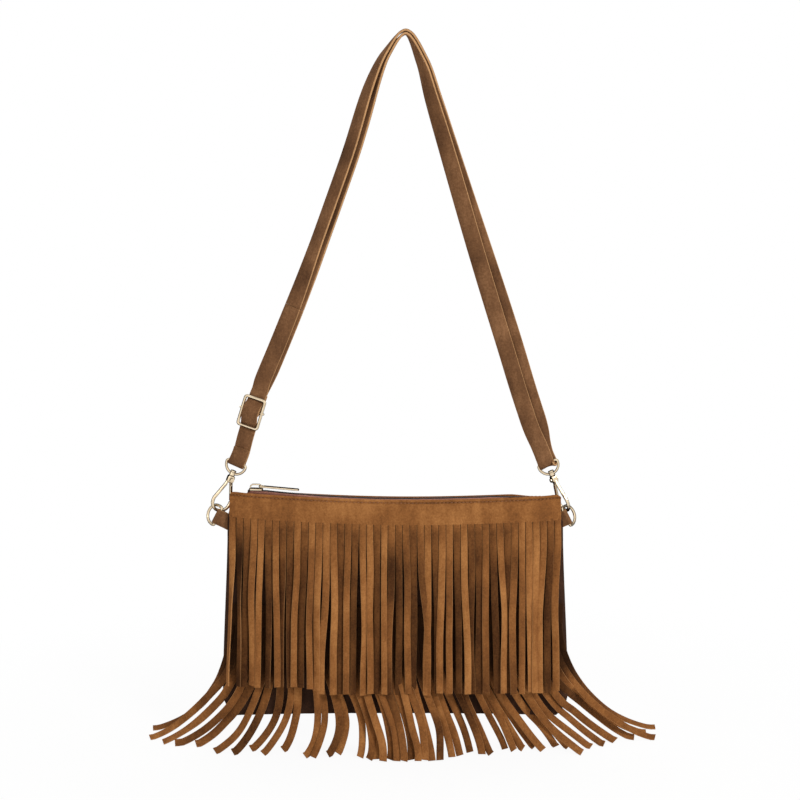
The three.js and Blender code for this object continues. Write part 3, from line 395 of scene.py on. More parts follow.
def plastic(name, color, dark):
    n = Nodes(name)
    speck = n.noise(900, 2)
    n.set(Base_Color=n.ramp(speck, (0.3, dark), (0.7, color)))
    n.set(Roughness=n.math("MULTIPLY_ADD", speck, 0.2, 0.45), Specular_IOR_Level=0.2)
    n.bump(speck, 0.15, 0.0001)
    return n.material


# Each suede's fourth colour is the painted sheen on its cut edges.
SUEDE = suede("suede", (84, 50, 26), (136, 87, 46), (178, 122, 70), (186, 134, 86))
# A darker copy of the suede: painted shade for the pouch front, which shows only in the fringe's shadow.
SUEDE_PAINTED_SHADE = suede("suede_dark", (34, 22, 17), (58, 38, 28), (86, 58, 42), (110, 78, 56))
STRAP_SUEDE = suede("strap_suede", (72, 47, 31), (114, 79, 52), (152, 110, 76), (216, 168, 118))
# The gold's second colour is its painted dark reflection.
GOLD = metal("champagne_gold", linear(242, 222, 190), linear(52, 40, 30), 0.12)
TAPE = woven("zip_tape", linear(186, 118, 94), linear(112, 66, 54), 900)
COIL = plastic("zip_coil", linear(52, 34, 28), linear(24, 15, 13))
LINING = woven("lining_cloth", linear(70, 46, 34), linear(38, 26, 20), 1300)
THREAD = woven("thread", linear(190, 122, 66), linear(98, 56, 30), 2600)

# Pouch form: the same as the solids have
CENTRE_X, TOP_Z, HEIGHT = -7.5, -353.5, 176
TOP_WIDTH, BOTTOM_WIDTH = 261, 273
BULGE_AT, PANEL, GAP = 0.62, 1.6, 0.3
TOP_SAG, TOP_TILT, CORNER_DROP = 4.2, 2.5, 3
TOP_CORNER_IN, BOTTOM_CORNER_IN = 7.5, 9
TOP_HALF, BULGE_HALF, BOTTOM_HALF = 7.5, 15.5, 4.5
# The side tabs are held in the seam here, as a share of the height, and hold it this far open
TAB_AT, TAB_ROOM = 0.125, 1.4
SEAM_CLOSED = GAP - 0.03
LIP = 2.3
LINING_REACH, LINING_THICKNESS = 0.955, 0.6


def across_pouch(x):
    return np.clip((x - CENTRE_X) / (TOP_WIDTH / 2), -1, 1)


def top_z(x):
    a = across_pouch(x)
    return TOP_Z - TOP_SAG * (1 - a**2) ** 1.5 - TOP_TILT / 2 * (a + 1)


def bottom_z(x):
    return TOP_Z - HEIGHT - CORNER_DROP * np.abs(across_pouch(x)) ** 3


def down_pouch(x, z):
    """How far down the pouch a point lies, from 0 at its top edge to 1."""
    return np.clip((top_z(x) - z) / (top_z(x) - bottom_z(x)), 0, 1)


def half_width(v):
    lower, upper = np.maximum(0, (v - 0.9) / 0.1), np.maximum(0, 1 - v / 0.12)
    straight = mix(TOP_WIDTH, BOTTOM_WIDTH, smooth(v, 0, 1)) / 2
    return straight - BOTTOM_CORNER_IN * lower**2 - TOP_CORNER_IN * upper**2


def half_depth(u, v):
    seam = PANEL + GAP + TAB_ROOM * (1 - smooth(np.abs(v - TAB_AT), 0.07, 0.12))
    below = np.maximum(0, (v - BULGE_AT) / (1 - BULGE_AT))
    rise = mix(TOP_HALF, BULGE_HALF, np.sin(np.minimum(v / BULGE_AT, 1) * math.pi / 2))
    fall = mix(BOTTOM_HALF, BULGE_HALF, np.cos(below * math.pi / 2))
    deep = np.where(v > BULGE_AT, fall, rise)
    flat = (1 - np.minimum(np.abs(u), 1) ** mix(10, 4, smooth(v, 0, 0.3))) ** 0.75
    return seam + np.maximum(0, deep - seam) * flat


def pouch_point(u, v, y):
    x0 = CENTRE_X + u * half_width(0.0)
    x = CENTRE_X + u * half_width(v)
    return np.stack([x, y, mix(top_z(x0), bottom_z(x0), v)], -1)


def depth_at(x, z):
    v = down_pouch(x, z)
    return half_depth(np.clip((x - CENTRE_X) / half_width(v), -1, 1), v)


def lip(x):
    """How far the turned top edge stands above the solids' top line."""
    return LIP * (1 - smooth(np.abs(across_pouch(x)), 0.97, 1.0))


def ripple(x, z, seed):
    """A slow crumple of the soft skin, from 0 to 1."""
    a = np.sin(x / 31 + seed) * np.sin(z / 27 + 1.7 * seed) + 0.6 * np.sin(x / 13 - z / 19 + 2 * seed)
    return (a / 1.6 + 1) / 2


def panel(side):
    """The front (-1) or back (1) skin, drawn together at the side and bottom seams."""
    u = np.sin(np.linspace(-1, 1, 91) * math.pi / 2)[None, :]
    v = np.linspace(0, 1, 61)[:, None]
    u, v = np.broadcast_arrays(u, v)
    inside = smooth(1 - np.abs(u), 0.0, 0.25) * smooth(v, 0.02, 0.2) * smooth(1 - v, 0, 0.1)
    point = pouch_point(u, v, 0 * u)
    room = 1.5 * inside * ripple(point[..., 0], point[..., 2], 1.0 + side)
    puckers = 0.25 * np.sin(point[..., 0] * 0.9) * smooth(v, 0.9, 0.97)
    off_tab = np.abs(v - TAB_AT)
    spare = TAB_ROOM * (smooth(off_tab, 0.05, 0.08) - smooth(off_tab, 0.07, 0.12)) + GAP - 0.03
    closed = np.maximum(spare * smooth(np.abs(u), 0.955, 0.99), SEAM_CLOSED * smooth(v, 0.97, 0.995))
    point[..., 1] = side * (half_depth(u, v) - PANEL / 2 - room + puckers - closed)
    raised = 0.9 * lip(point[..., 0]) * (1 - smooth(np.abs(across_pouch(point[..., 0])), 0.68, 0.84))
    point[..., 2] += raised * (1 - smooth(v, 0, 0.08))
    form = Form()
    tone = 0.5 + 0.16 * (ripple(point[..., 0] * 1.7, point[..., 2] * 1.3, 4 + side) - 0.5)
    order = 1 if side < 0 else -1
    form.sheet(point[:, ::order], PANEL, tone[:, ::order])
    return form


# The front skin takes the darker suede, painted shade as behind the fringe.
front = make("pouch_front", panel(-1), SUEDE_PAINTED_SHADE, "bag", ["front_panel"])
back = make("pouch_back", panel(1), SUEDE, "bag", ["back_panel"])


def lining():
    """A pocket in one sheet: down the front, round the bottom and up the back."""
    rows = np.concatenate([np.linspace(0.12, LINING_REACH, 30), np.linspace(LINING_REACH, 0.12, 30)])
    side = np.concatenate([-np.ones(30), np.ones(30)])[:, None]
    u = np.sin(np.linspace(-1, 1, 61) * math.pi / 2)[None, :] * LINING_REACH
    u, v = np.broadcast_arrays(u, rows[:, None])
    sag = ripple(pouch_point(u, v, u)[..., 0] * 1.4, v * 170, 2.0)
    sag = sag * 1.2 * smooth(1 - np.abs(u), 0.02, 0.2)
    point = pouch_point(u, v, side * (half_depth(u, v) - PANEL - 0.9 - sag))
    point[..., 0] -= u * 4
    point[28:32, :, 1] *= np.array([0.9, 0.4, 0.4, 0.9])[:, None]
    form = Form()
    form.sheet(point, LINING_THICKNESS)
    return form


inner = make("lining_pocket", lining(), LINING, "bag", ["lining"])

# Fringe
STRIPS, FRINGE, FRINGE_CLEAR = 46, 1.1, 1
BULGE_Z = TOP_Z - HEIGHT * BULGE_AT
LAYER = FRINGE + 0.4
UPPER_BAND = 17
UPPER_END_LEFT, UPPER_END = -503.6, -508.4
LOWER_TOP, LOWER_BAND = -440, 17
BAND_COLUMNS = 185


def front_at(x, z):
    """How far in front of the pouch's middle the fringe hangs: it falls straight from the bulge."""
    return depth_at(x, np.maximum(z, BULGE_Z)) + FRINGE_CLEAR + FRINGE / 2


def upper_clear(z):
    """The room that the upper tier leaves for the lower tier behind it."""
    return 3 * LAYER * smooth(LOWER_TOP + 30 - z, 0, 28)


def upper_fringe():
    reach = TOP_WIDTH / 2 - 1
    left, pitch = CENTRE_X - reach, 2 * reach / STRIPS
    form = Form()
    x = np.linspace(left, left + 2 * reach, BAND_COLUMNS)[None, :]
    down = (np.linspace(0, 1, 26) ** 1.3)[:, None]
    x, down = np.broadcast_arrays(x, down)
    z = mix(top_z(x) + lip(x), top_z(x) - UPPER_BAND, down)
    groove = np.exp(-(((z - top_z(x)) / 0.8) ** 2))
    y = -(front_at(x, z) + upper_clear(z)) + 0.5 * groove
    y = y + 0.9 * smooth(z - top_z(x), 0.8, 2.3)
    # The band's tone is darker along the stitch groove, painted shade in the recess, and lighter towards the
    # right, painted light from that side.
    tone = 0.5 + 0.36 * (ripple(x * 0.8, z * 2.2, 3.0) - 0.5) - 0.34 * groove + 0.06 * smooth(x, -90, 20)
    form.sheet(np.stack([x, y, z], -1), FRINGE, tone)
    s = np.linspace(0, 1, 34)
    for i in range(STRIPS):
        x0 = left + (i + 0.5) * pitch
        a = float(across_pouch(x0))
        behind = 0.9 * math.sin(i * 2.4) + 0.7 * chance(i, 31) < -0.2
        clump = 1.2 * math.sin(i * 1.05 + 1.3 * math.sin(i * 0.37)) + 1.2 * chance(i, 1)
        kink = 0.22 + 0.4 * abs(chance(i, 2))
        sway = clump * smooth(s, 0.06, kink + 0.3) + 1.5 * chance(i, 3) * smooth(s, kink, kink + 0.35)
        sway = sway * (0.7 if behind else 1.35)
        sway = sway - 0.9 * chance(i, 4) * np.sin(s * 5 + i) * smooth(s, 0.1, 0.5)
        px = CENTRE_X + (x0 - CENTRE_X) * (1 + 0.03 * s) + sway * mix(1.0, 0.5, abs(a) ** 4)
        px = px - 5.2 * smooth(a, 0.66, 1.0) * smooth(s, 0.1, 0.6)
        end = mix(UPPER_END_LEFT, UPPER_END, float(smooth(x0, -76, -58)))
        end = end + 0.8 * chance(i, 5) - (0.8 if behind else 0)
        start = float(top_z(x0)) - UPPER_BAND
        z = start + 1.2 - s * (start + 1.2 - end)
        raised = 0
        if not behind:
            raised = LAYER * smooth(s, 0.02, 0.3) + 0.8 * (1 + chance(i, 6)) * smooth(s, 0.25, 0.9)
        y = -(front_at(px, z) + upper_clear(z) + raised)
        turned = math.radians(mix(15, 50, abs(a) ** 2.2)) * chance(i, 7) + 0.5 * abs(a) ** 3 * np.sign(a)
        angle = turned * smooth(s, 0.05, 0.55) + 0.3 * chance(i, 8) * smooth(s, 0.45, 1)
        across = np.stack([np.cos(angle), np.sin(angle), 0 * s], -1)
        width = pitch * (0.93 - 0.03 * smooth(s, 0.0, 0.3)) * (1 + 0.08 * chance(i, 9) * smooth(s, 0, 0.2))
        cup = 0.55 * chance(i, 10) * smooth(s, 0.1, 0.5)
        tone = 0.5 + 0.26 * chance(i, 11) * smooth(s, 0, 0.25) + 0.1 * np.sin(s * 7 + 3 * i)
        # Strips near the sides are darker: painted shade where they turn away.
        tone = tone - 0.12 * abs(a) ** 3
        # Strips behind are darker: painted shade from the strips in front of them.
        if behind:
            tone = mix(0.42, 0.27, smooth(s, 0, 0.07)) - 0.1 * smooth(s, 0.1, 0.5)
        line = np.stack([px, y, z], -1)
        strip(form, line, across, width, FRINGE * 0.98, cup, tone, 0.1 * chance(i, 12))
    return form


upper = make("fringe_upper", upper_fringe(), SUEDE, "bag", ["upper_fringe"])

# Tips of the lower tier on the floor, as pixels of the photograph, from the left
TIPS = [
    (153, 729), (150, 738), (163, 742), (175, 745), (196, 745), (215, 752), (233, 754), (251, 750), (263, 754),
    (283, 751), (305, 757), (313, 757), (328, 756), (338, 754), (360, 757), (369, 760), (376, 759), (383, 761),
    (390, 760), (397, 761), (404, 761), (411, 760), (418, 761), (425, 760), (432, 761), (440, 760), (452, 757),
    (460, 756), (470, 752), (482, 754), (491, 755), (505, 749), (514, 750), (523, 750), (534, 748), (543, 750),
    (556, 747), (568, 748), (582, 753), (591, 748), (604, 745), (615, 741), (634, 739), (646, 734), (655, 738),
    (655, 728),
]


def lower_strip(i, x, s):
    """The middle line of a strip from its slit to its tip on the floor, and its width direction."""
    side = (x - CENTRE_X) / (half_width(0.5) - 2)
    far = abs(side)
    tip = on_floor(*TIPS[i], FRINGE / 2 + 0.5 * (i % 3))
    root = np.array([x, -float(front_at(x, LOWER_TOP - LOWER_BAND)), LOWER_TOP - LOWER_BAND])
    turn = math.radians(mix(4, 78, far**1.4)) * np.sign(side) + 0.25 * chance(i, 21)
    landing = math.radians(mix(66, 7, far**0.9))
    flat = math.cos(landing)
    run = np.array([math.sin(turn) * flat, -math.cos(turn) * flat, -math.sin(landing)])
    hang = root - np.array([0, 0, mix(44, 34, far)])
    low = tip - run * mix(34, 46, far)
    t = s[:, None]
    line = (1 - t) ** 3 * root + 3 * (1 - t) ** 2 * t * hang + 3 * (1 - t) * t**2 * low + t**3 * tip
    free = smooth(s, 0.2, 0.5) * smooth(1 - s, 0.02, 0.3)
    wander = mix(1.5, 2.8, far) * chance(i, 22) * np.sin(s * 5.5 + i) + 1.5 * chance(i, 29)
    line[:, 0] += wander * free
    side_x = half_width(down_pouch(line[:, 0], line[:, 2]))
    outside = smooth(np.abs(line[:, 0] - CENTRE_X) - side_x, 1.5, 9)
    below = smooth(bottom_z(line[:, 0]) - line[:, 2], -3, 8)
    layered = (i % 2) * LAYER * smooth(s, 0, 0.3)
    skin = -(depth_at(line[:, 0], line[:, 2]) + FRINGE_CLEAR + FRINGE / 2 + layered)
    line[:, 1] = mix(np.minimum(line[:, 1], skin), line[:, 1], np.maximum(outside, below))
    for _ in range(6):
        line[1:-1, 1] = (line[:-2, 1] + 2 * line[1:-1, 1] + line[2:, 1]) / 4
    lie = (mix(0.1, 1.3, far**2.5) + 0.25 * chance(i, 24)) * smooth(s, 0.3, 0.95)
    face = np.stack([0 * s, -np.cos(lie), np.sin(lie)], -1)
    across = unit(np.cross(face, unit(np.gradient(line, axis=0))))
    line[:, 2] = np.maximum(line[:, 2], FLOOR_Z + FRINGE / 2 + 2.6 * np.abs(across[:, 2]))
    return line, across


def lower_fringe():
    reach = half_width(0.5) - 2
    left, pitch = CENTRE_X - reach, 2 * reach / STRIPS
    form = Form()
    x = np.linspace(left, left + 2 * reach, BAND_COLUMNS)[None, :]
    x, z = np.broadcast_arrays(x, np.linspace(LOWER_TOP, LOWER_TOP - LOWER_BAND, 12)[:, None])
    # The lower band is painted dark, as shade under the upper tier.
    form.sheet(np.stack([x, -front_at(x, z), z], -1), FRINGE, 0.05)
    s = np.linspace(0, 1, 40)
    for i in range(STRIPS):
        line, across = lower_strip(i, left + (i + 0.5) * pitch, s)
        line[0, 2] += 1.2
        twist = 0.5 * chance(i, 30) * np.sin(s * 4 + i) * smooth(s, 0.05, 0.3) * smooth(1 - s, 0.05, 0.4)
        across = across + twist[:, None] * np.array([0, 1.0, 0])
        own = 0.44 + 0.2 * chance(i, 25) + 0.1 * np.sin(s * 6 + 2 * i)
        # Each strip is painted dark down to where it comes out below the upper tier: painted shade.
        tone = mix(0.02, own, smooth(-line[:, 2], 484, 515))
        wider = 0.97 + 0.14 * smooth(CENTRE_X - line[0, 0], 50, 120)
        width = pitch * wider * (1 + 0.08 * chance(i, 26))
        cup = 0.5 * chance(i, 27) * smooth(s, 0.1, 0.4) * smooth(1 - s, 0.05, 0.3)
        strip(form, line, across, width, FRINGE * 0.98, cup, tone, 0.25 * chance(i, 28))
    return form


lower = make("fringe_lower", lower_fringe(), SUEDE, "bag", ["lower_fringe"])

# Zip
ZIP_A, ZIP_B = np.array([-123, 0, -350.9]), np.array([99, 0, -356.6])
ZIP_SPAN = float(np.linalg.norm(ZIP_B - ZIP_A))
ZIP_ALONG = (ZIP_B - ZIP_A) / ZIP_SPAN
ZIP_UP = np.array([-ZIP_ALONG[2], 0, ZIP_ALONG[0]])
TOOTH, TOOTHLESS, ZIP_END_GAP = 1.5, 4, 0.6
ZIP_SAG, SAG_FROM, SAG_RUN = 3.7, -108, 178
TAPE_DROP, TAPE_THICKNESS, TAPE_ROOM = 15, 0.55, 4.4


def zip_z(x):
    """The closed zip sags between its ends; the slider's own line is straight."""
    straight = mix(ZIP_A[2], ZIP_B[2], (x - ZIP_A[0]) / (ZIP_B[0] - ZIP_A[0]))
    return straight - ZIP_SAG * np.sin(math.pi * np.clip((x - SAG_FROM) / SAG_RUN, 0, 1) ** 0.9)


def coil(side):
    """A row of moulded loops that reach past the middle line, on a cord."""
    form = Form()
    round_x, round_y = np.cos(HEXAGON)[None, :, None], np.sin(HEXAGON)[None, :, None]
    y = side * np.array([2.1, 1.7, 0.8, -0.1, -0.85, -1.05])
    wide = np.array([0.3, 0.36, 0.36, 0.44, 0.5, 0.28])
    tall = np.array([0.5, 0.85, 0.8, 0.8, 0.85, 0.4])
    start = TOOTHLESS + (TOOTH / 2 if side > 0 else 0)
    for i in range(int((ZIP_SPAN - ZIP_END_GAP - start) / TOOTH)):
        middle = ZIP_A + ZIP_ALONG * (start + i * TOOTH)
        middle = np.array([middle[0], 0, zip_z(middle[0])]) + np.array([0, 1.0, 0]) * y[:, None]
        ring = round_x * ZIP_ALONG * wide[:, None, None] + round_y * ZIP_UP * tall[:, None, None]
        form.loft(middle[:, None] + ring, 0.5)
    x = np.linspace(0, ZIP_SPAN, 120)
    cord = ZIP_A + ZIP_ALONG * x[:, None] + np.array([0, side * 1.75, 0])
    cord[:, 2] = zip_z(cord[:, 0])
    ring = round_x * np.array([0, 0.45, 0]) + round_y * ZIP_UP * 0.6
    form.loft(cord[:, None] + ring, 0.5)
    return form


make("zip_teeth_front", coil(-1), COIL, "bag", ["zip_coil_front"])
make("zip_teeth_back", coil(1), COIL, "bag", ["zip_coil_back"])


def tape(side):
    """A ribbon from under the teeth, over the pouch's edge and down inside the panel."""
    start = (ZIP_A[0] + np.array([2.5, 1.5, -5, -5]))[:, None]
    x = mix(start, ZIP_B[0] + 6, np.linspace(0, 1, 150)[None, :])
    edge = top_z(x)
    room = lambda down: depth_at(x, edge - down) - PANEL - 3.3 * GAP - 0.28
    at_top = np.minimum(room(0), room(7.5))
    height = zip_z(x)
    y = np.stack([
        0 * x[0] + 2.4, np.minimum(TAPE_ROOM, at_top[1] + 0.8), np.minimum(TAPE_ROOM, at_top[2]), at_top[3],
    ])
    under = np.minimum(edge[2] - 2.1, height[2] - 1.2)
    z = np.stack([height[0], height[1] - 0.4, under, edge[3] - TAPE_DROP])
    rows, fine = np.arange(4), np.array([0, 0.35, 0.7, 1, 1.25, 1.5, 1.75, 2, 2.2, 2.4, 2.6, 2.8, 3])
    columns = lambda grid: np.stack([np.interp(fine, rows, column) for column in grid.T], 1)
    form = Form()
    form.sheet(np.stack([columns(x), side * columns(y), columns(z)], -1), TAPE_THICKNESS)
    return form


for side, word in ((-1, "front"), (1, "back")):
    ribbon = make("zip_ribbon_" + word, tape(side), TAPE, "bag", ["zip_tape_" + word])

# Strap: from eye to eye like the solids, and up to 9 mm nearer the middle than they are where the
# photograph shows it so. A leg's points are shares of the eye's distance from the apex, out and down.
eyes = {side: 1000 * np.array(joints[f"swivel_eye_{side}_tilt"]["pos_m"]) for side in ("left", "right")}
axes = {side: np.array(joints[f"hook_{side}_swivel"]["axis"]) for side in ("left", "right")}
APEX_X = 0.6
LEFT_LEG = [
    (0.9107, 0.8788), (0.8515, 0.8138), (0.75, 0.7173), (0.547, 0.5175), (0.324, 0.2785), (0.177, 0.0957),
    (0.107, 0.0389),
]
RIGHT_LEG = [
    (0.1105, 0.057), (0.1923, 0.1477), (0.4474, 0.4237), (0.7151, 0.7046), (0.8256, 0.825), (0.9173, 0.919),
]
STRAP_WIDTH, STRAP, LAYER_GAP = 13, 2, 0.5
EYE_STUB = 9
SPAN_STEPS = 48


def leg(points, eye):
    return [np.array([mix(APEX_X, eye[0], out), eye[1] * down**2, eye[2] * down]) for out, down in points]


def rounded_line(points, steps):
    """A smooth curve through points, with even steps in each span."""
    points = np.array([2 * points[0] - points[1], *points, 2 * points[-1] - points[-2]])
    line = []
    t = np.linspace(0, 1, steps, endpoint=False)[:, None]
    for a, b, c, d in zip(points, points[1:], points[2:], points[3:]):
        t0, t1, t2 = (math.sqrt(float(np.linalg.norm(q - p))) for p, q in ((a, b), (b, c), (c, d)))
        m1 = ((b - a) / t0 - (c - a) / (t0 + t1) + (c - b) / t1) * t1
        m2 = ((c - b) / t1 - (d - b) / (t1 + t2) + (d - c) / t2) * t1
        line.append(b + m1 * t + (3 * (c - b) - 2 * m1 - m2) * t**2 + (2 * (b - c) + m1 + m2) * t**3)
    return np.concatenate([*line, points[-2][None]])


spine = rounded_line([
    eyes["left"], eyes["left"] + EYE_STUB * axes["left"], *leg(LEFT_LEG, eyes["left"]),
    np.array([APEX_X, 0, STRAP + LAYER_GAP / 2]),
    *leg(RIGHT_LEG, eyes["right"]), eyes["right"] + EYE_STUB * axes["right"], eyes["right"],
], SPAN_STEPS)
spine_at = distances(spine)
LEFT_LENGTH = spine_at[SPAN_STEPS * (len(LEFT_LEG) + 2)]
RIGHT_LENGTH = spine_at[-1] - LEFT_LENGTH


def strap_frame(distance):
    """Point, tangent, normal and width direction at a distance right of the apex, or left if below 0."""
    along = float(np.clip(LEFT_LENGTH + distance, 0, spine_at[-1]))
    at = lambda d: np.array([np.interp(d, spine_at, spine[:, k]) for k in range(3)])
    tangent = unit(at(min(along + 1, spine_at[-1])) - at(max(along - 1, 0)))
    point = at(along) + tangent * (LEFT_LENGTH + distance - along)
    if distance < 0:
        turned = 43 * (1 - math.exp(-((-distance / 42) ** 1.5)))
        turned = turned + 36.5 * float(smooth(-distance, 165, 262))
    else:
        turned = 80 * (1 - math.exp(-distance / 60))
    twist = math.radians(turned)
    normal = unit(np.array([-tangent[2], 0, tangent[0]])) * math.cos(twist)
    normal[1] = np.sign(distance) * math.sin(twist)
    normal = unit(normal - tangent * (normal @ tangent))
    return point, tangent, normal, np.cross(normal, tangent)


def layer_offset(distance):
    """How far each layer of the doubled strap lies off its line: loose below the apex, then close."""
    far = abs(distance)
    loose = 3.2 if distance < 0 else 1.6
    close = (120, 235) if distance < 0 else (270, 325)
    return (STRAP + LAYER_GAP + loose * smooth(far, 10, 75) * (1 - smooth(far, *close))) / 2


def layer(side, start, end, step=9):
    """Stations of distance and offset along one layer."""
    count = max(1, round(abs(end - start) / step))
    return [(d, side * layer_offset(d)) for d in np.linspace(start, end, count + 1)]


def turn_round(radius, steps=12):
    turn = np.radians(np.linspace(180, 360, steps + 1))
    return [(radius * math.sin(t), radius * math.cos(t)) for t in turn]


# The adjuster and what lies on its bars. Offsets are positive towards the front of the strap.
ADJUSTER_AT = 41.6 - LEFT_LENGTH
SPLIT_AT = ADJUSTER_AT + 90
BAR_AT = 25.5 / 2 - 1.1
CENTRE_BAR = BAR_AT * (1 - 0.86)
BEHIND, LOOP, WRAP = 1.1 + GAP + 1, 0.85 + GAP + 1, 1 + GAP + 1
OVER = LOOP + STRAP + GAP
STACK = STRAP + GAP


def aside(distance, offset):
    """How far a layer lies to the right of the line, so that both layers show side by side."""
    side = float(np.clip(offset / 1.2, -1, 1))
    if distance > 0:
        at_eye = smooth(distance, RIGHT_LENGTH - 34, RIGHT_LENGTH - 8)
        return side * (7 * smooth(distance, 20, 250) * (1 - 0.75 * at_eye)) / 2
    held = smooth(-distance, -ADJUSTER_AT - 34, -ADJUSTER_AT - 14)
    return 2.2 * max(0, -side) * smooth(-distance, 120, 200) * (1 - held)


def strap_ribbon(stations, seed):
    """A strap of soft rectangular section along stations of distance and offset, and its middle line."""
    frames = [strap_frame(d) for d, _ in stations]
    points = np.array([f[0] + f[2] * o - f[3] * aside(d, o) for f, (d, o) in zip(frames, stations)])
    width = np.array([f[3] for f in frames])
    at = distances(points)
    keep = np.concatenate([[True], np.diff(at) > 0.05])
    smooth_points = rounded_line(list(points[keep]), 6)
    kept = keep.sum()
    smooth_at = np.interp(np.linspace(0, kept - 1, len(smooth_points)), np.arange(kept), at[keep])
    smooth_width = np.stack([np.interp(smooth_at, at[keep], axis) for axis in width[keep].T], -1)
    tone = 0.5 + 0.1 * np.sin(smooth_at / 17 + seed) + 0.06 * np.sin(smooth_at / 5.3)
    form = Form()
    strip(form, smooth_points, smooth_width, STRAP_WIDTH, STRAP - 0.04, 0.0, tone)
    return form, smooth_points


NEAR = RIGHT_LENGTH - 8
loop = [
    *layer(1, SPLIT_AT, -34), *layer(1, -28, 28, 4), *layer(1, 34, NEAR),
    *[(RIGHT_LENGTH - s, o) for s, o in reversed(turn_round(WRAP))],
    *layer(-1, NEAR, 34), *layer(-1, 28, -28, 4), *layer(-1, -34, SPLIT_AT),
]
# Behind the upper bar, over the centre bar and behind the lower bar
gripped = [
    (36, 1.2), (26, 0.6), (19, -1.2), (BAR_AT + 2.6, 0.1 - BEHIND), (BAR_AT - 0.6, -BEHIND - 0.1),
    (8.6, -1), (5.8, 2.2), (CENTRE_BAR + 2, OVER - 0.2), (CENTRE_BAR - 0.6, OVER + 0.1),
    (-2.4, OVER - 1.2), (-6.4, 0.4), (1.6 - BAR_AT, 0.4 - BEHIND), (-0.6 - BAR_AT, -BEHIND - 0.1),
    (-3.4 - BAR_AT, 0.2 - BEHIND), (-17, -1.75),
]
hemmed = [(14, -0.8), (9, -1.45), (4, -1.8), *turn_round(WRAP), (4, 1.55), (9, 0.9), (12, 0.85)]
run = [*layer(1, SPLIT_AT - GAP, ADJUSTER_AT + 50), *[(ADJUSTER_AT + s, o) for s, o in gripped]]
hem = [(ADJUSTER_AT - 17, -1.75), (ADJUSTER_AT - 21, -0.9), *[(s - LEFT_LENGTH, o) for s, o in hemmed]]
# The return lies behind the run, goes round the centre bar and is sewn down on itself
bow = np.radians(np.linspace(45, -170, 14))
returned = [
    (36, -1.3), (26, -1.8), (19, -3.7), (BAR_AT + 2.4, -BEHIND - STACK),
    (BAR_AT - 1.2, -BEHIND - STACK - 0.2), (8.2, -4.6), (5.6, -1.9), (CENTRE_BAR + 2.1, 0.6),
    *[(CENTRE_BAR + LOOP * math.sin(t), LOOP * math.cos(t)) for t in bow],
    (4, -4), (6.4, -6.2), (9.6, -7.4), (15, -7.5),
]
back_run = [*layer(-1, SPLIT_AT - GAP, ADJUSTER_AT + 50), *[(ADJUSTER_AT + s, o) for s, o in returned]]

# On the strap the adjuster draws the run and the return along it and the hem stays on its eye; here they are
# baked in place off the bodies, and the ends of that travel are worked out but not used
drawn = ("bag", "strap_adjuster", SPLIT_AT, ADJUSTER_AT + 20)
stretched = ("strap_adjuster", "bag", ADJUSTER_AT - 17.5, 15 - LEFT_LENGTH)
for name, stations, node, moves in (
    ("strap_loop", loop, "strap", None),
    ("strap_run", run, "strap_adjusting_run", drawn),
    ("strap_hem", hem, "strap_adjusting_run", stretched),
    ("strap_back_run", back_run, "strap_return", drawn),
):
    form, line = strap_ribbon(stations, len(name))
    piece = make(name, form, STRAP_SUEDE, None if moves else "bag", [node])
    if moves:
        first, second, *ends = moves
        start, end = (strap_frame(distance)[0] / 1000 for distance in ends)
        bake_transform(piece)


# Metal: the solids with softened corners
CORNER_ANGLE = 28


def dress(node, bevel):
    piece = frame["nodes"][node]
    piece.data.materials.clear()
    piece.data.materials.append(GOLD)
    piece.data.polygons.foreach_set("use_smooth", [True] * len(piece.data.polygons))
    soft = piece.modifiers.new("soft corners", "BEVEL")
    soft.width = bevel / 1000
    soft.segments = 2
    soft.limit_method = "ANGLE"
    soft.angle_limit = math.radians(CORNER_ANGLE)
    soft.harden_normals = True


PAIRED = {"swivel_eye_": 0.3, "hook_": 0.25, "hook_gate_": 0.2, "gate_rivet_": 0.15, "d_ring_": 0.35}
for side in ("left", "right"):
    for node, bevel in PAIRED.items():
        dress(node + side, bevel)
for node, bevel in (("zip_slider", 0.15), ("zip_pull", 0.15), ("zip_end_stop", 0.12), ("strap_adjuster", 0.3)):
    dress(node, bevel)


# Side tabs: a strip folded round each ring's bar, its ends held in the side seam
TAB_WIDTH, TAB_THICKNESS, TAB_TURN = 11.8, 1.36, 2.1
TAB_FACE = [(2.9, 1.5), (5.6, 0.95), (9, 0.75), (13, 0.7), (17, 0.7)]
for word, side in (("left", -1), ("right", 1)):
    swing = joints[f"d_ring_{word}_swing"]
    bar, up = 1000 * np.array(swing["pos_m"]), np.array(swing["axis"])
    inward = side * np.array([-up[2], 0, up[0]])
    turn = np.radians(np.linspace(70, 290, 9))
    bend = [(TAB_TURN * math.cos(t), TAB_TURN * math.sin(t)) for t in turn]
    plan = [*reversed(TAB_FACE), *bend, *[(along, -out) for along, out in TAB_FACE]]
    line = rounded_line([bar + inward * along + np.array([0, out, 0]) for along, out in plan], 4)
    fold = Form()
    tone = 0.5 + 0.12 * np.sin(np.arange(len(line)) / 3)
    strip(fold, line, np.broadcast_to(up, line.shape), TAB_WIDTH, TAB_THICKNESS, 0.0, tone)
    tab = make("side_tab_" + word, fold, STRAP_SUEDE, "bag", ["ring_tab_" + word])
    for face in (-1, 1):
        row = bar + inward * 5.8 + up * np.linspace(-4.6, 4.6, 12)[:, None] + np.array([0, face * 1.62, 0])
        sewn = stitches(row, np.broadcast_to([0.0, face, 0.0], row.shape), 2.4, 1.8, 0.25)
        make(f"tab_seam_{word}_{'front' if face < 0 else 'back'}", sewn, THREAD, "bag")

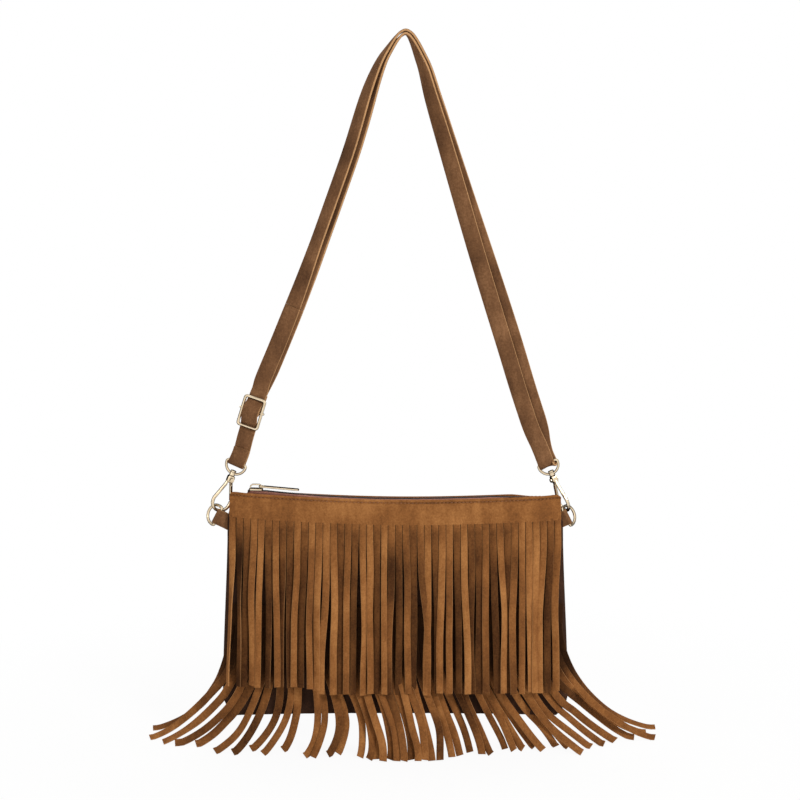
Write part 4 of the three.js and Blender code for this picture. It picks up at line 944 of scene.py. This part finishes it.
# Stitching: pitch, length and radius
SEAM_THREAD = (3.0, 2.2, 0.28)
x = np.linspace(-134, 119, 200)
for word, side in (("front", -1), ("back", 1)):
    z = top_z(x)
    skin = depth_at(x, z) + (0.5 + FRINGE if side < 0 else 0)
    line = np.stack([x, side * skin, z], -1)
    seam = stitches(line, np.broadcast_to([0.0, side, 0.0], line.shape), *SEAM_THREAD)
    make("top_seam_" + word, seam, THREAD, "bag")
DOWN, OUT = 0.955, 0.965
v = np.concatenate([np.linspace(0.06, DOWN, 60), np.full(110, DOWN), np.linspace(DOWN, 0.06, 60)])
u = np.concatenate([np.full(60, -OUT), np.linspace(-OUT, OUT, 110), np.full(60, OUT)])
round_back = pouch_point(u, v, half_depth(u, v))
seam = stitches(round_back, np.broadcast_to([0.0, 1.0, 0.0], round_back.shape), *SEAM_THREAD)
make("side_seam_back", seam, THREAD, "bag")


# Floor, light and background
def backdrop():
    """A pale floor that turns white with distance, in an evenly lit white room."""
    n = Nodes("pale_floor")
    pale = n.ramp(n.noise(14, 2), (0.3, linear(240, 240, 239)), (0.7, linear(246, 246, 245)))
    n.set(Base_Color=pale, Roughness=0.8)
    away = n.add("ShaderNodeVectorMath", operation="LENGTH")
    n.feed(n.place, away.inputs[0])
    fade = n.ramp(away.outputs["Value"], (0.25, 0.8), (0.75, 1.0))
    white = n.add("ShaderNodeEmission")
    white.inputs["Strength"].default_value = 1.0
    shown = n.math("MULTIPLY", n.seen_directly(), fade)
    n.mix_shaders(shown, n.shader.outputs["BSDF"], white.outputs[0], "Material Output")
    mesh = bpy.data.meshes.new("floor")
    corners = [(-4, -3), (4, -3), (4, 6), (-4, 6)]
    mesh.from_pydata([(a, b, FLOOR_Z / 1000 - 0.0002) for a, b in corners], [], [(0, 1, 2, 3)])
    mesh.materials.append(n.material)
    floor = bpy.data.objects.new("floor", mesh)
    bpy.context.scene.collection.objects.link(floor)

    world = bpy.data.worlds.new("studio")
    bpy.context.scene.world = world
    n = Nodes("studio", world)
    room, white = n.add("ShaderNodeBackground"), n.add("ShaderNodeBackground")
    room.inputs["Color"].default_value = (1, 0.995, 0.985, 1)
    room.inputs["Strength"].default_value = 0.5
    white.inputs["Color"].default_value = (1, 1, 1, 1)
    n.mix_shaders(n.seen_directly(), room.outputs[0], white.outputs[0], "World Output")


LAMPS_AIM = Vector((0, 0, -0.35))


def lamp(name, at, size, power, color=(1, 1, 1)):
    data = bpy.data.lights.new(name, "AREA")
    data.shape = "DISK"
    data.size = size
    data.energy = power
    data.color = color
    light = bpy.data.objects.new(name, data)
    light.location = at
    light.rotation_euler = (LAMPS_AIM - Vector(at)).to_track_quat("-Z", "Y").to_euler()
    bpy.context.scene.collection.objects.link(light)


backdrop()
lamp("key", (1.2, -1.7, 0.9), 0.6, 28, (1, 0.985, 0.96))
lamp("fill", (-1.5, -1.5, 0.4), 1.2, 4)
lamp("top", (0.1, 0.5, 1.6), 1.0, 9)
bpy.context.scene.view_settings.view_transform = "Standard"
